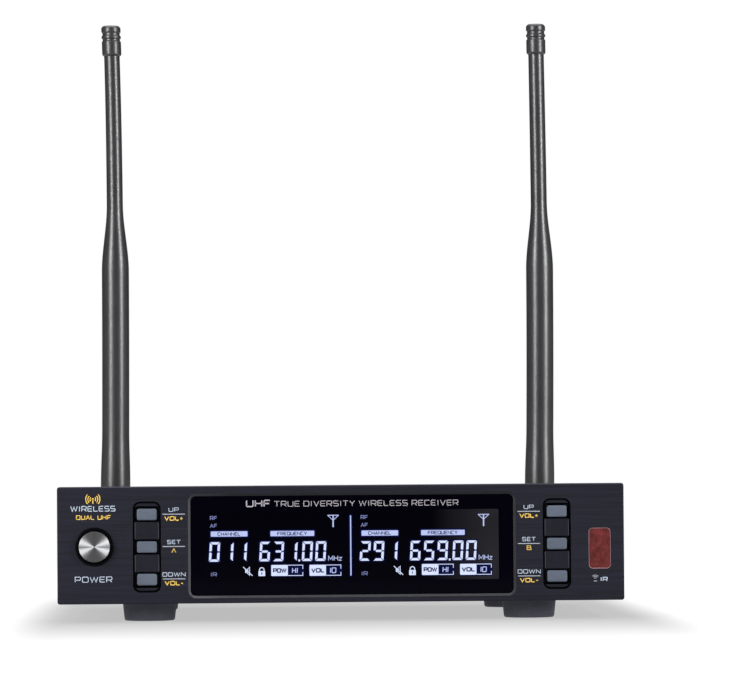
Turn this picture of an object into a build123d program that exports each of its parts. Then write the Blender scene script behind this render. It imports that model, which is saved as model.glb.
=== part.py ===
"""Half-rack, two-channel wireless receiver with two folding rubber antennas.

Millimetres. +X is right as seen from the front, +Y is depth (the front faces -Y), +Z is up.
The origin is on the floor, at the middle of the object's box.
Depths are measured backwards from the fascia's front face, and heights from the fascia's bottom edge.
"""
from build123d import *
import math
import os

os.makedirs("parts", exist_ok=True)

# ---------------------------------------------------------------- driving dimensions
PANEL_W = 212.0            # half-rack fascia
PANEL_H = 43.8
PANEL_T = 5.0
PANEL_BOTTOM = 7.0         # fascia's bottom edge above the floor
PANEL_CORNER = 1.0

CASE_W = 203.5
CASE_BOTTOM = 7.5          # underside of the case, on top of the feet
CASE_TOP = 49.9
CASE_BACK = 170.5          # depth of the rear wall's outer face
COVER_T = 1.0
SHEET_T = 1.2

WINDOW = (4.1, 21.4, 120.8, 37.2)      # display window: centre x, centre height, width, height
WINDOW_R = 2.0
BEVEL = 0.9
WINDOW_SEAT = 3.2                      # depth of the ledge that the window sits on
LCD = (3.6, 21.3, 112.8, 28.2)         # display glass: centre x, centre height, width, height
LCD_WALL = 1.1

SLOT_W = 10.5                          # button slots
SLOT_H = 34.0
SLOT_R = 2.75
SLOTS = {"a": (-72.55, 21.2), "b": (80.8, 21.25)}
BUTTON_W = 7.6
BUTTON_H = 4.5
BUTTON_R = 0.7
BUTTON_PITCH = 12.15
BUTTON_PROUD = 0.7
BUTTON_GAP = 0.2
BUTTON_TRAVEL = 0.6
BEZEL_SINK = 0.9                       # bezel face behind the fascia face
CHANNEL_SINK = 2.4                     # floor of the dark channel round each button
CHANNEL_H = 6.6

POWER_X = -92.1
POWER_HEIGHT = 21.4
POWER_CAP_R = 5.75
POWER_RING_R = 7.325
POWER_BARREL_R = 6.9
POWER_PROUD = 2.6
POWER_TRAVEL = 2.0
SLIDING_GAP = 0.1

IR = (96.85, 19.45, 8.3, 15.3)         # infrared window: centre x, centre height, width, height
IR_R = 1.5

PCB_T = 1.6
FRONT_PCB = 12.6                       # depth of the front board's component side
MAIN_PCB_Z = 14.7                      # underside of the main board

FOOT_X = 72.0
FOOT_FRONT = 27.0
FOOT_REAR = 150.0
FOOT_TOP_R = 10.3
FOOT_LOW_R = 9.5

CONNECTOR_H = 21.7                     # height of every rear connector's axis
XLR_X = {"a": -48.0, "b": -13.0}
JACK_X = 20.0
JACK_R = 3.25
DC_X = 54.0

ANTENNA_X = 88.5
ANTENNA_BACK = 195.0                   # depth of the whip's axis and of its tilt pin
ELBOW_R = 6.4
WHIP_BASE_R = 6.15
WHIP_THICK_R = 5.65
WHIP_THIN_R = 3.25
WHIP_BASE_Z = (51.0, 73.0)             # base taper
WHIP_FLARE_Z = (139.4, 167.5)          # shoulder between the thick and the thin part
WHIP_TOP_Z = 229.5
CAP_R = 4.1
CAP_H = 12.8
TONGUE_W = 5.0
TONGUE_R = 5.6
PIN_R = 1.5
BARREL_R = 4.8                         # bayonet socket barrel
LUG_DEPTH = 178.5

M3_R = 1.5                             # machine screws: shank radius, head radius, head height
M3_HEAD_R = 2.8
M3_HEAD_H = 1.8
M25_R = 1.25
M25_HEAD_R = 2.3
M25_HEAD_H = 1.6

# The object's box runs from the power button's face to the back of the elbow.
BOX_BACK = ANTENNA_BACK + ELBOW_R
FRONT_Y = -(BOX_BACK - POWER_PROUD) / 2
TILT_Z = PANEL_BOTTOM + CONNECTOR_H
SIDES = {"left": -1, "right": 1}


# ---------------------------------------------------------------- shared shapes
def upright(depth):
    """Plane facing forward: local x is across, local y is height above the fascia's bottom edge."""
    origin = (0, FRONT_Y + depth, PANEL_BOTTOM)
    return Plane(origin=origin, x_dir=(1, 0, 0), z_dir=(0, -1, 0))


def plate(box, radius, front, back, mode=Mode.ADD):
    """Upright plate with rounded corners, from one depth to another."""
    x, height, width, tall = box
    with BuildSketch(upright(front)) as outline:
        with Locations((x, height)):
            RectangleRounded(width, tall, radius)
    extrude(outline.sketch, amount=front - back, mode=mode)


def rod(x, height, radius, front, back, mode=Mode.ADD):
    """Round bar or hole along the depth axis."""
    with BuildSketch(upright(front)) as outline:
        with Locations((x, height)):
            Circle(radius)
    extrude(outline.sketch, amount=front - back, mode=mode)


def hexagon(x, height, across_flats, front, back):
    """Hexagonal nut blank along the depth axis."""
    with BuildSketch(upright(front)) as outline:
        with Locations((x, height)):
            RegularPolygon(across_flats / 2, 6, major_radius=False)
    extrude(outline.sketch, amount=front - back)


def block(x, depth, z, mode=Mode.ADD):
    """Box between two limits on each axis: x, depth and z above the floor."""
    middle = (sum(x) / 2, FRONT_Y + sum(depth) / 2, sum(z) / 2)
    with Locations(middle):
        Box(x[1] - x[0], depth[1] - depth[0], z[1] - z[0], mode=mode)


def post(x, depth, radius, low, high, mode=Mode.ADD):
    """Upright round bar or hole between two heights above the floor."""
    with Locations((x, FRONT_Y + depth, (low + high) / 2)):
        Cylinder(radius, high - low, mode=mode)


def grown(box, by):
    """The same rectangle, larger all round."""
    return (box[0], box[1], box[2] + 2 * by, box[3] + 2 * by)


BUTTON_HEIGHTS = {"up": BUTTON_PITCH, "set": 0.0, "down": -BUTTON_PITCH}
FASCIA_SCREWS = [(-60.3, 5.0), (-60.3, 38.0), (67.9, 5.0), (67.9, 38.0)]
FRONT_POSTS = [(-82.0, 5.0), (-82.0, 38.0), (90.0, 5.0), (90.0, 38.0)]
MAIN_POSTS = [(x, depth) for x in (-88.0, 0.0, 88.0) for depth in (36.0, 138.0)]
COVER_SCREWS = [40.0, 140.0]
XLR_SCREWS = [(-9.5, 12.0), (9.5, -12.0)]
FOOT_PLACES = {
    "foot_front_left": (-FOOT_X, FOOT_FRONT),
    "foot_front_right": (FOOT_X, FOOT_FRONT),
    "foot_rear_left": (-FOOT_X, FOOT_REAR),
    "foot_rear_right": (FOOT_X, FOOT_REAR),
}

# ---------------------------------------------------------------- front panel
# The rounded slots, the stepped window opening and the round hole all go right through the plate.
LCD_OPENING = grown(LCD, 1.6)
FASCIA_SCREW_TIP = WINDOW_SEAT - 1.2
FASCIA_CHAMFER = 0.35
with BuildPart() as front_panel:
    plate((0, PANEL_H / 2, PANEL_W, PANEL_H), PANEL_CORNER, 0, PANEL_T)
    front_rim = front_panel.faces().sort_by(Axis.Y)[0].outer_wire().edges()
    chamfer(front_rim, length=FASCIA_CHAMFER)
    with BuildSketch(upright(0), upright(BEVEL)) as bevel:
        with Locations(WINDOW[:2]):
            RectangleRounded(WINDOW[2] + 2 * BEVEL, WINDOW[3] + 2 * BEVEL, WINDOW_R + BEVEL)
    with BuildSketch(upright(BEVEL)) as bevel_floor:
        with Locations(WINDOW[:2]):
            RectangleRounded(WINDOW[2], WINDOW[3], WINDOW_R)
    bevel_outline = bevel.sketch.faces().sort_by(Axis.Y)[0]
    loft([bevel_outline, bevel_floor.sketch.faces()[0]], mode=Mode.SUBTRACT)
    plate(WINDOW, WINDOW_R, BEVEL, WINDOW_SEAT, mode=Mode.SUBTRACT)
    plate(LCD_OPENING, 1.0, WINDOW_SEAT, PANEL_T, mode=Mode.SUBTRACT)
    for x, height in SLOTS.values():
        plate((x, height, SLOT_W, SLOT_H), SLOT_R, 0, PANEL_T, mode=Mode.SUBTRACT)
    rod(POWER_X, POWER_HEIGHT, POWER_BARREL_R, 0, PANEL_T, mode=Mode.SUBTRACT)
    plate(IR, IR_R, 0, PANEL_T, mode=Mode.SUBTRACT)
    for x, height in FASCIA_SCREWS:
        rod(x, height, M3_R, FASCIA_SCREW_TIP, PANEL_T, mode=Mode.SUBTRACT)
front_panel.part.label = "front_panel"
export_step(front_panel.part, "parts/front_panel.step")

# ---------------------------------------------------------------- display
with BuildPart() as display_window:
    plate(WINDOW, WINDOW_R, BEVEL, WINDOW_SEAT)
display_window.part.label = "display_window"
export_step(display_window.part, "parts/display_window.step")

LCD_FRONT = WINDOW_SEAT + 0.2
LCD_BACK = LCD_FRONT + 1.6
LIGHT_BACK = 8.6
with BuildPart() as lcd_glass:
    plate(LCD, 0.5, LCD_FRONT, LCD_BACK)
lcd_glass.part.label = "lcd_glass"
export_step(lcd_glass.part, "parts/lcd_glass.step")

with BuildPart() as lcd_backlight:
    plate(LCD, 0.5, LCD_BACK, LIGHT_BACK)
lcd_backlight.part.label = "lcd_backlight"
export_step(lcd_backlight.part, "parts/lcd_backlight.step")

with BuildPart() as lcd_frame:
    plate(grown(LCD, LCD_WALL), 1.0, LCD_FRONT, FRONT_PCB)
    plate(LCD, 0.5, LCD_FRONT, FRONT_PCB, mode=Mode.SUBTRACT)
lcd_frame.part.label = "lcd_frame"
export_step(lcd_frame.part, "parts/lcd_frame.step")

# ---------------------------------------------------------------- button bezels and buttons
CHASSIS_WALL_BACK = PANEL_T + SHEET_T
BEZEL_FLANGE = (13.4, 37.0)
BUTTON_FLANGE_FRONT = CHASSIS_WALL_BACK + 0.15
BUTTON_FLANGE_BACK = BUTTON_FLANGE_FRONT + 1.0
BUTTON_EDGE_R = 0.35
NIB_R = 1.5
SWITCH_W = 6.0
SWITCH_TOP = 9.2
PLUNGER_R = 1.7
PLUNGER_TOP = 8.6                      # where the plunger stands when it is pressed home
BUTTON_NIB_BACK = PLUNGER_TOP - BUTTON_TRAVEL - 0.1

for channel, (x, height) in SLOTS.items():
    with BuildPart() as button_bezel:
        plate((x, height, SLOT_W - 0.1, SLOT_H - 0.1), SLOT_R - 0.05, BEZEL_SINK, PANEL_T)
        plate((x, height, *BEZEL_FLANGE), SLOT_R, PANEL_T, CHASSIS_WALL_BACK)
        for offset in BUTTON_HEIGHTS.values():
            channel_box = (x, height + offset, SLOT_W, CHANNEL_H)
            plate(channel_box, 0.3, BEZEL_SINK, CHANNEL_SINK, mode=Mode.SUBTRACT)
            hole = grown((x, height + offset, BUTTON_W, BUTTON_H), BUTTON_GAP)
            plate(hole, BUTTON_R + BUTTON_GAP, BEZEL_SINK, CHASSIS_WALL_BACK, mode=Mode.SUBTRACT)
    button_bezel.part.label = f"button_bezel_{channel}"
    export_step(button_bezel.part, f"parts/button_bezel_{channel}.step")

    for role, offset in BUTTON_HEIGHTS.items():
        key = (x, height + offset, BUTTON_W, BUTTON_H)
        with BuildPart() as button:
            plate(key, BUTTON_R, -BUTTON_PROUD, BUTTON_FLANGE_FRONT)
            key_face = button.faces().sort_by(Axis.Y)[0].outer_wire().edges()
            fillet(key_face, radius=BUTTON_EDGE_R)
            plate(grown(key, 0.9), BUTTON_R + 0.3, BUTTON_FLANGE_FRONT, BUTTON_FLANGE_BACK)
            rod(key[0], key[1], NIB_R, BUTTON_FLANGE_BACK, BUTTON_NIB_BACK)
        button.part.label = f"{role}_button_{channel}"
        export_step(button.part, f"parts/{role}_button_{channel}.step")

with BuildPart() as tact_switches:
    for x, height in SLOTS.values():
        for offset in BUTTON_HEIGHTS.values():
            plate((x, height + offset, SWITCH_W, SWITCH_W), 0.3, SWITCH_TOP, FRONT_PCB)
            rod(x, height + offset, PLUNGER_R, PLUNGER_TOP, SWITCH_TOP)
tact_switches.part.label = "tact_switches"
export_step(tact_switches.part, "parts/tact_switches.step")

# ---------------------------------------------------------------- power button
RING_PROUD = 0.5
RING_END = PANEL_T + 0.6
with BuildPart() as power_button_ring:
    rod(POWER_X, POWER_HEIGHT, POWER_RING_R, -RING_PROUD, 0)
    ring_lip = power_button_ring.faces().sort_by(Axis.Y)[0].outer_wire().edges()
    fillet(ring_lip, radius=0.3)
    rod(POWER_X, POWER_HEIGHT, POWER_BARREL_R, 0, RING_END)
    rod(POWER_X, POWER_HEIGHT, POWER_CAP_R + SLIDING_GAP, -RING_PROUD, RING_END, mode=Mode.SUBTRACT)
power_button_ring.part.label = "power_button_ring"
export_step(power_button_ring.part, "parts/power_button_ring.step")

POWER_CAP_BACK = 3.6
STEM_R = 2.4
STEM_BACK = 9.4
POWER_SWITCH_W = 8.5
POWER_SWITCH_FRONT = 8.0
POWER_SWITCH_BORE_END = STEM_BACK + POWER_TRAVEL + 0.4
with BuildPart() as power_button_cap:
    rod(POWER_X, POWER_HEIGHT, POWER_CAP_R, -POWER_PROUD, POWER_CAP_BACK)
    cap_face = power_button_cap.faces().sort_by(Axis.Y)[0].outer_wire().edges()
    fillet(cap_face, radius=0.5)
power_button_cap.part.label = "power_button_cap"
export_step(power_button_cap.part, "parts/power_button_cap.step")

with BuildPart() as power_button_stem:
    rod(POWER_X, POWER_HEIGHT, STEM_R, POWER_CAP_BACK, STEM_BACK)
power_button_stem.part.label = "power_button_stem"
export_step(power_button_stem.part, "parts/power_button_stem.step")

with BuildPart() as power_switch:
    body = (POWER_X, POWER_HEIGHT, POWER_SWITCH_W, POWER_SWITCH_W)
    plate(body, 0.4, POWER_SWITCH_FRONT, FRONT_PCB)
    bore = (STEM_R + SLIDING_GAP, POWER_SWITCH_FRONT, POWER_SWITCH_BORE_END)
    rod(POWER_X, POWER_HEIGHT, *bore, mode=Mode.SUBTRACT)
power_switch.part.label = "power_switch"
export_step(power_switch.part, "parts/power_switch.step")

# ---------------------------------------------------------------- infrared window and sensor
IR_FRONT = 0.3
IR_BACK = 3.2
SENSOR_X = 94.5
SENSOR_FRONT = 9.0
with BuildPart() as ir_window:
    plate(IR, IR_R, IR_FRONT, IR_BACK)
    ir_rim = ir_window.faces().sort_by(Axis.Y)[0].outer_wire().edges()
    fillet(ir_rim, radius=0.3)
ir_window.part.label = "ir_window"
export_step(ir_window.part, "parts/ir_window.step")

with BuildPart() as ir_sensor:
    plate((SENSOR_X, IR[1], 6.0, 7.0), 0.4, SENSOR_FRONT, FRONT_PCB)
    with Locations((SENSOR_X, FRONT_Y + SENSOR_FRONT, PANEL_BOTTOM + IR[1])):
        Sphere(2.0)
ir_sensor.part.label = "ir_sensor"
export_step(ir_sensor.part, "parts/ir_sensor.step")

# ---------------------------------------------------------------- chassis, bracket, rear panel and cover
WALL_X = CASE_W / 2 - COVER_T
WALL_Z = (CASE_BOTTOM, CASE_TOP - COVER_T)
FLOOR_TOP = CASE_BOTTOM + SHEET_T
REAR_INNER = CASE_BACK - SHEET_T
FLANGE_DEPTH = (32.0, 158.0)
FLANGE_TOP = 19.0
COVER_SCREW_Z = 13.4
with BuildPart() as chassis:
    block((-WALL_X, WALL_X), (CHASSIS_WALL_BACK, REAR_INNER), (CASE_BOTTOM, FLOOR_TOP))
    for side in SIDES.values():
        flange = sorted((side * (WALL_X - SHEET_T), side * WALL_X))
        block(flange, FLANGE_DEPTH, (CASE_BOTTOM, FLANGE_TOP))
        for depth in COVER_SCREWS:
            with Locations((side * WALL_X, FRONT_Y + depth, COVER_SCREW_Z)):
                Cylinder(M3_R, 8.0, rotation=(0, 90, 0), mode=Mode.SUBTRACT)
    for x, depth in FOOT_PLACES.values():
        post(x, depth, M3_R, CASE_BOTTOM, FLOOR_TOP, mode=Mode.SUBTRACT)
chassis.part.label = "chassis"
export_step(chassis.part, "parts/chassis.step")

POWER_HOLE_R = 7.6
IR_HOLE = (97.0, 19.5, 10.0, 17.0)
with BuildPart() as front_bracket:
    block((-WALL_X, WALL_X), (PANEL_T, CHASSIS_WALL_BACK), WALL_Z)
    plate(grown(LCD, 2.0), 1.0, PANEL_T, CHASSIS_WALL_BACK, mode=Mode.SUBTRACT)
    for x, height in SLOTS.values():
        opening = grown((x, height, *BEZEL_FLANGE), 0.25)
        plate(opening, SLOT_R, PANEL_T, CHASSIS_WALL_BACK, mode=Mode.SUBTRACT)
    rod(POWER_X, POWER_HEIGHT, POWER_HOLE_R, PANEL_T, CHASSIS_WALL_BACK, mode=Mode.SUBTRACT)
    plate(IR_HOLE, 0.5, PANEL_T, CHASSIS_WALL_BACK, mode=Mode.SUBTRACT)
    for x, height in FASCIA_SCREWS:
        rod(x, height, M3_R + 0.1, PANEL_T, CHASSIS_WALL_BACK, mode=Mode.SUBTRACT)
front_bracket.part.label = "front_bracket"
export_step(front_bracket.part, "parts/front_bracket.step")

XLR_BODY_R = 11.7
JACK_THREAD_R = 4.8
DC_BODY_R = 5.2
with BuildPart() as rear_panel:
    block((-WALL_X, WALL_X), (REAR_INNER, CASE_BACK), WALL_Z)
    for x in XLR_X.values():
        rod(x, CONNECTOR_H, XLR_BODY_R, REAR_INNER, CASE_BACK, mode=Mode.SUBTRACT)
        for dx, dh in XLR_SCREWS:
            rod(x + dx, CONNECTOR_H + dh, M3_R, REAR_INNER, CASE_BACK, mode=Mode.SUBTRACT)
    rod(JACK_X, CONNECTOR_H, JACK_THREAD_R, REAR_INNER, CASE_BACK, mode=Mode.SUBTRACT)
    rod(DC_X, CONNECTOR_H, DC_BODY_R, REAR_INNER, CASE_BACK, mode=Mode.SUBTRACT)
    for side in SIDES.values():
        rod(side * ANTENNA_X, CONNECTOR_H, BARREL_R, REAR_INNER, CASE_BACK, mode=Mode.SUBTRACT)
rear_panel.part.label = "rear_panel"
export_step(rear_panel.part, "parts/rear_panel.step")

COVER_EDGE_R = 1.4
VENT_DEPTHS = [66.0 + 6.0 * n for n in range(10)]
VENT_Z = 33.0
VENT_SIZE = (18.0, 2.2)
EAR_DEPTH = 22.0
EAR_SPACING = 24.0
EAR_R = 1.65
with BuildPart() as top_cover:
    block((-CASE_W / 2, CASE_W / 2), (PANEL_T, CASE_BACK), (CASE_BOTTOM, CASE_TOP))
    long_edges = top_cover.edges().filter_by(Axis.Y).group_by(Axis.Z)[-1]
    fillet(long_edges, radius=COVER_EDGE_R)
    block((-WALL_X, WALL_X), (PANEL_T, CASE_BACK), WALL_Z, mode=Mode.SUBTRACT)
    for depth in VENT_DEPTHS:
        with BuildSketch(Plane.YZ) as vent:
            with Locations((FRONT_Y + depth, VENT_Z)):
                SlotOverall(*VENT_SIZE, rotation=90)
        extrude(amount=CASE_W, both=True, mode=Mode.SUBTRACT)
    for z in (TILT_Z - EAR_SPACING / 2, TILT_Z + EAR_SPACING / 2):
        with Locations((0, FRONT_Y + EAR_DEPTH, z)):
            Cylinder(EAR_R, CASE_W + 2, rotation=(0, 90, 0), mode=Mode.SUBTRACT)
    for depth in COVER_SCREWS:
        with Locations((0, FRONT_Y + depth, COVER_SCREW_Z)):
            Cylinder(M3_R, CASE_W + 2, rotation=(0, 90, 0), mode=Mode.SUBTRACT)
top_cover.part.label = "top_cover"
export_step(top_cover.part, "parts/top_cover.step")

COVER_HEAD_H = 1.6
with BuildPart() as cover_screws:
    for side in SIDES.values():
        for depth in COVER_SCREWS:
            with Locations((side * (CASE_W / 2 + COVER_HEAD_H / 2), FRONT_Y + depth, COVER_SCREW_Z)):
                Cylinder(M3_HEAD_R, COVER_HEAD_H, rotation=(0, 90, 0))
            with Locations((side * (CASE_W / 2 - 3.0), FRONT_Y + depth, COVER_SCREW_Z)):
                Cylinder(M3_R, 6.0, rotation=(0, 90, 0))
    end_faces = cover_screws.faces().filter_by(Axis.X).group_by(Axis.X)
    outer_faces = end_faces[0] + end_faces[-1]
    fillet(outer_faces.edges(), radius=0.6)
cover_screws.part.label = "cover_screws"
export_step(cover_screws.part, "parts/cover_screws.step")

# ---------------------------------------------------------------- feet
FOOT_CHAMFER = 0.6
FOOT_TOP_CHAMFER = 0.3
FOOT_WELL_R = 3.6
FOOT_WELL_Z = 3.0                      # the screw's head sits in a well under the foot
for name, (x, depth) in FOOT_PLACES.items():
    with BuildPart() as foot:
        with BuildSketch(Plane.XZ.offset(-(FRONT_Y + depth))) as foot_profile:
            with BuildLine():
                Polyline(
                    (x, 0), (x + FOOT_LOW_R - FOOT_CHAMFER, 0), (x + FOOT_LOW_R, FOOT_CHAMFER),
                    (x + FOOT_TOP_R, CASE_BOTTOM - FOOT_TOP_CHAMFER),
                    (x + FOOT_TOP_R - FOOT_TOP_CHAMFER, CASE_BOTTOM), (x, CASE_BOTTOM), close=True,
                )
            make_face()
        revolve(axis=Axis((x, FRONT_Y + depth, 0), (0, 0, 1)))
        post(x, depth, FOOT_WELL_R, 0, FOOT_WELL_Z, mode=Mode.SUBTRACT)
        post(x, depth, M3_R + 0.1, FOOT_WELL_Z, CASE_BOTTOM, mode=Mode.SUBTRACT)
    foot.part.label = name
    export_step(foot.part, f"parts/{name}.step")

# Pan-head screws: one up through each foot, and four forward through the bracket into the fascia.
FOOT_SCREW_TIP = 12.0
with BuildPart() as pan_screws:
    for x, depth in FOOT_PLACES.values():
        post(x, depth, M3_HEAD_R, FOOT_WELL_Z - M3_HEAD_H, FOOT_WELL_Z)
        post(x, depth, M3_R, FOOT_WELL_Z, FOOT_SCREW_TIP)
    for x, height in FASCIA_SCREWS:
        rod(x, height, M3_R, FASCIA_SCREW_TIP, CHASSIS_WALL_BACK)
        rod(x, height, M3_HEAD_R, CHASSIS_WALL_BACK, CHASSIS_WALL_BACK + M3_HEAD_H)
pan_screws.part.label = "pan_screws"
export_step(pan_screws.part, "parts/pan_screws.step")

# ---------------------------------------------------------------- boards
MAIN_PCB_TOP = MAIN_PCB_Z + PCB_T
FRONT_STANDOFF_R = 1.9
MAIN_STANDOFF_R = 2.5
STANDOFF_WEB = 1.0                     # solid end of a standoff
with BuildPart() as front_pcb:
    plate((0, PANEL_H / 2 - 0.2, 196.0, 36.6), 0.5, FRONT_PCB, FRONT_PCB + PCB_T)
    for x, height in FRONT_POSTS:
        rod(x, height, M25_R, FRONT_PCB, FRONT_PCB + PCB_T, mode=Mode.SUBTRACT)
front_pcb.part.label = "front_pcb"
export_step(front_pcb.part, "parts/front_pcb.step")

with BuildPart() as main_pcb:
    block((-93.0, 93.0), (30.0, 161.0), (MAIN_PCB_Z, MAIN_PCB_TOP))
    for x, depth in MAIN_POSTS:
        post(x, depth, M25_R, MAIN_PCB_Z, MAIN_PCB_TOP, mode=Mode.SUBTRACT)
main_pcb.part.label = "main_pcb"
export_step(main_pcb.part, "parts/main_pcb.step")

with BuildPart() as pcb_standoffs:
    for x, height in FRONT_POSTS:
        rod(x, height, FRONT_STANDOFF_R, CHASSIS_WALL_BACK, FRONT_PCB)
        rod(x, height, M25_R, CHASSIS_WALL_BACK + STANDOFF_WEB, FRONT_PCB, mode=Mode.SUBTRACT)
    for x, depth in MAIN_POSTS:
        post(x, depth, MAIN_STANDOFF_R, FLOOR_TOP, MAIN_PCB_Z)
        post(x, depth, M25_R, FLOOR_TOP + STANDOFF_WEB, MAIN_PCB_Z, mode=Mode.SUBTRACT)
pcb_standoffs.part.label = "pcb_standoffs"
export_step(pcb_standoffs.part, "parts/pcb_standoffs.step")

with BuildPart() as pcb_screws:
    for x, height in FRONT_POSTS:
        rod(x, height, M25_R, CHASSIS_WALL_BACK + STANDOFF_WEB + 1.0, FRONT_PCB + PCB_T)
        rod(x, height, M25_HEAD_R, FRONT_PCB + PCB_T, FRONT_PCB + PCB_T + M25_HEAD_H)
    for x, depth in MAIN_POSTS:
        post(x, depth, M25_R, FLOOR_TOP + STANDOFF_WEB + 0.5, MAIN_PCB_TOP)
        post(x, depth, M25_HEAD_R, MAIN_PCB_TOP, MAIN_PCB_TOP + M25_HEAD_H)
pcb_screws.part.label = "pcb_screws"
export_step(pcb_screws.part, "parts/pcb_screws.step")

SHIELD_X = [(-78.0, -30.0), (30.0, 78.0)]
SHIELD_DEPTH = (64.0, 124.0)
SHIELD_H = 13.0
SHIELD_WALL = 0.6
with BuildPart() as rf_shields:
    for low, high in SHIELD_X:
        block((low, high), SHIELD_DEPTH, (MAIN_PCB_TOP, MAIN_PCB_TOP + SHIELD_H))
        inside_x = (low + SHIELD_WALL, high - SHIELD_WALL)
        inside_depth = (SHIELD_DEPTH[0] + SHIELD_WALL, SHIELD_DEPTH[1] - SHIELD_WALL)
        inside_z = (MAIN_PCB_TOP, MAIN_PCB_TOP + SHIELD_H - SHIELD_WALL)
        block(inside_x, inside_depth, inside_z, mode=Mode.SUBTRACT)
rf_shields.part.label = "rf_shields"
export_step(rf_shields.part, "parts/rf_shields.step")

CAPACITOR_R = 4.0
CAPACITOR_H = 12.0
with BuildPart() as capacitors:
    for x in (-12.0, 0.0, 12.0):
        for depth in (70.0, 84.0):
            post(x, depth, CAPACITOR_R, MAIN_PCB_TOP, MAIN_PCB_TOP + CAPACITOR_H)
capacitors.part.label = "capacitors"
export_step(capacitors.part, "parts/capacitors.step")

HEATSINK_X = 14.0
HEATSINK_DEPTH = (104.0, 106.0, 116.0)  # front of the base, back of the base, tips of the fins
HEATSINK_Z = (MAIN_PCB_TOP, MAIN_PCB_TOP + 18.0)
FIN_PITCH = 4
with BuildPart() as heatsink:
    block((-HEATSINK_X, HEATSINK_X), HEATSINK_DEPTH[:2], HEATSINK_Z)
    for step in range(-3, 4):
        fin_x = step * FIN_PITCH
        block((fin_x - 0.6, fin_x + 0.6), HEATSINK_DEPTH[1:], HEATSINK_Z)
heatsink.part.label = "heatsink"
export_step(heatsink.part, "parts/heatsink.step")

RIBBON_X = (-16.0, 16.0)
RIBBON_DEPTH = (FRONT_PCB + PCB_T, 50.0)
RIBBON_Z = 26.0
RIBBON_T = 0.8
with BuildPart() as ribbon_cable:
    block(RIBBON_X, RIBBON_DEPTH, (RIBBON_Z, RIBBON_Z + RIBBON_T))
    block(RIBBON_X, (RIBBON_DEPTH[1] - RIBBON_T, RIBBON_DEPTH[1]), (MAIN_PCB_TOP, RIBBON_Z))
ribbon_cable.part.label = "ribbon_cable"
export_step(ribbon_cable.part, "parts/ribbon_cable.step")

# ---------------------------------------------------------------- audio outputs
XLR_MOUTH = CASE_BACK + 2.8
XLR_FLOOR = XLR_MOUTH - 16.6
XLR_PIN_END = XLR_MOUTH - 4.8
XLR_BODY_BACK = XLR_FLOOR - 6.0
XLR_CAVITY_R = 8.15
XLR_NOSE_R = 10.6
XLR_FLANGE_T = 1.6
XLR_PIN_R = 1.2
XLR_PINS = [(-3.8, 2.2), (3.8, 2.2), (0.0, -4.2)]
for channel, x in XLR_X.items():
    with BuildPart() as xlr_output:
        plate((x, CONNECTOR_H, 26.0, 31.0), 2.0, CASE_BACK, CASE_BACK + XLR_FLANGE_T)
        rod(x, CONNECTOR_H, XLR_NOSE_R, CASE_BACK, XLR_MOUTH)
        fillet(xlr_output.faces().sort_by(Axis.Y)[-1].outer_wire().edges(), radius=0.6)
        rod(x, CONNECTOR_H, XLR_BODY_R, XLR_BODY_BACK, CASE_BACK)
        rod(x, CONNECTOR_H, XLR_CAVITY_R, XLR_FLOOR, XLR_MOUTH, mode=Mode.SUBTRACT)
        for dx, dh in XLR_PINS:
            rod(x + dx, CONNECTOR_H + dh, XLR_PIN_R, XLR_BODY_BACK, XLR_FLOOR, mode=Mode.SUBTRACT)
        for dx, dh in XLR_SCREWS:
            hole = (M3_R, CASE_BACK, CASE_BACK + XLR_FLANGE_T)
            rod(x + dx, CONNECTOR_H + dh, *hole, mode=Mode.SUBTRACT)
    xlr_output.part.label = f"xlr_output_{channel}"
    export_step(xlr_output.part, f"parts/xlr_output_{channel}.step")

XLR_TAIL = 145.0                       # where the contacts turn down to the board
with BuildPart() as xlr_contacts:
    for x in XLR_X.values():
        for dx, dh in XLR_PINS:
            tail = XLR_TAIL + dx / 2
            rod(x + dx, CONNECTOR_H + dh, XLR_PIN_R, tail, XLR_PIN_END)
            leg_top = PANEL_BOTTOM + CONNECTOR_H + dh
            block((x + dx - 0.5, x + dx + 0.5), (tail, tail + 1.0), (MAIN_PCB_TOP, leg_top))
xlr_contacts.part.label = "xlr_contacts"
export_step(xlr_contacts.part, "parts/xlr_contacts.step")

XLR_HEAD_R = 2.6
with BuildPart() as xlr_screws:
    for x in XLR_X.values():
        for dx, dh in XLR_SCREWS:
            head = CASE_BACK + XLR_FLANGE_T
            rod(x + dx, CONNECTOR_H + dh, M3_R, CASE_BACK - 4.0, head)
            rod(x + dx, CONNECTOR_H + dh, XLR_HEAD_R, head, head + 1.4)
    fillet(xlr_screws.faces().filter_by(Axis.Y).group_by(Axis.Y)[-1].edges(), radius=0.6)
xlr_screws.part.label = "xlr_screws"
export_step(xlr_screws.part, "parts/xlr_screws.step")

JACK_MOUTH = CASE_BACK + 5.0
JACK_FLOOR = 146.0
JACK_BODY_W = 15.0
JACK_BLOCK_BACK = 158.0
with BuildPart() as mix_output_jack:
    body = (JACK_X, CONNECTOR_H, JACK_BODY_W, JACK_BODY_W)
    plate(body, 0.8, JACK_FLOOR - 1.5, REAR_INNER)
    rod(JACK_X, CONNECTOR_H, JACK_THREAD_R, REAR_INNER, JACK_MOUTH)
    rod(JACK_X, CONNECTOR_H, JACK_R, JACK_FLOOR, JACK_MOUTH, mode=Mode.SUBTRACT)
    chamfer(mix_output_jack.faces().sort_by(Axis.Y)[-1].outer_wire().edges(), length=0.4)
    jack_x = (JACK_X - 5.0, JACK_X + 5.0)
    jack_z = (MAIN_PCB_TOP, PANEL_BOTTOM + CONNECTOR_H - JACK_BODY_W / 2)
    block(jack_x, (JACK_FLOOR, JACK_BLOCK_BACK), jack_z)
mix_output_jack.part.label = "mix_output_jack"
export_step(mix_output_jack.part, "parts/mix_output_jack.step")

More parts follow.
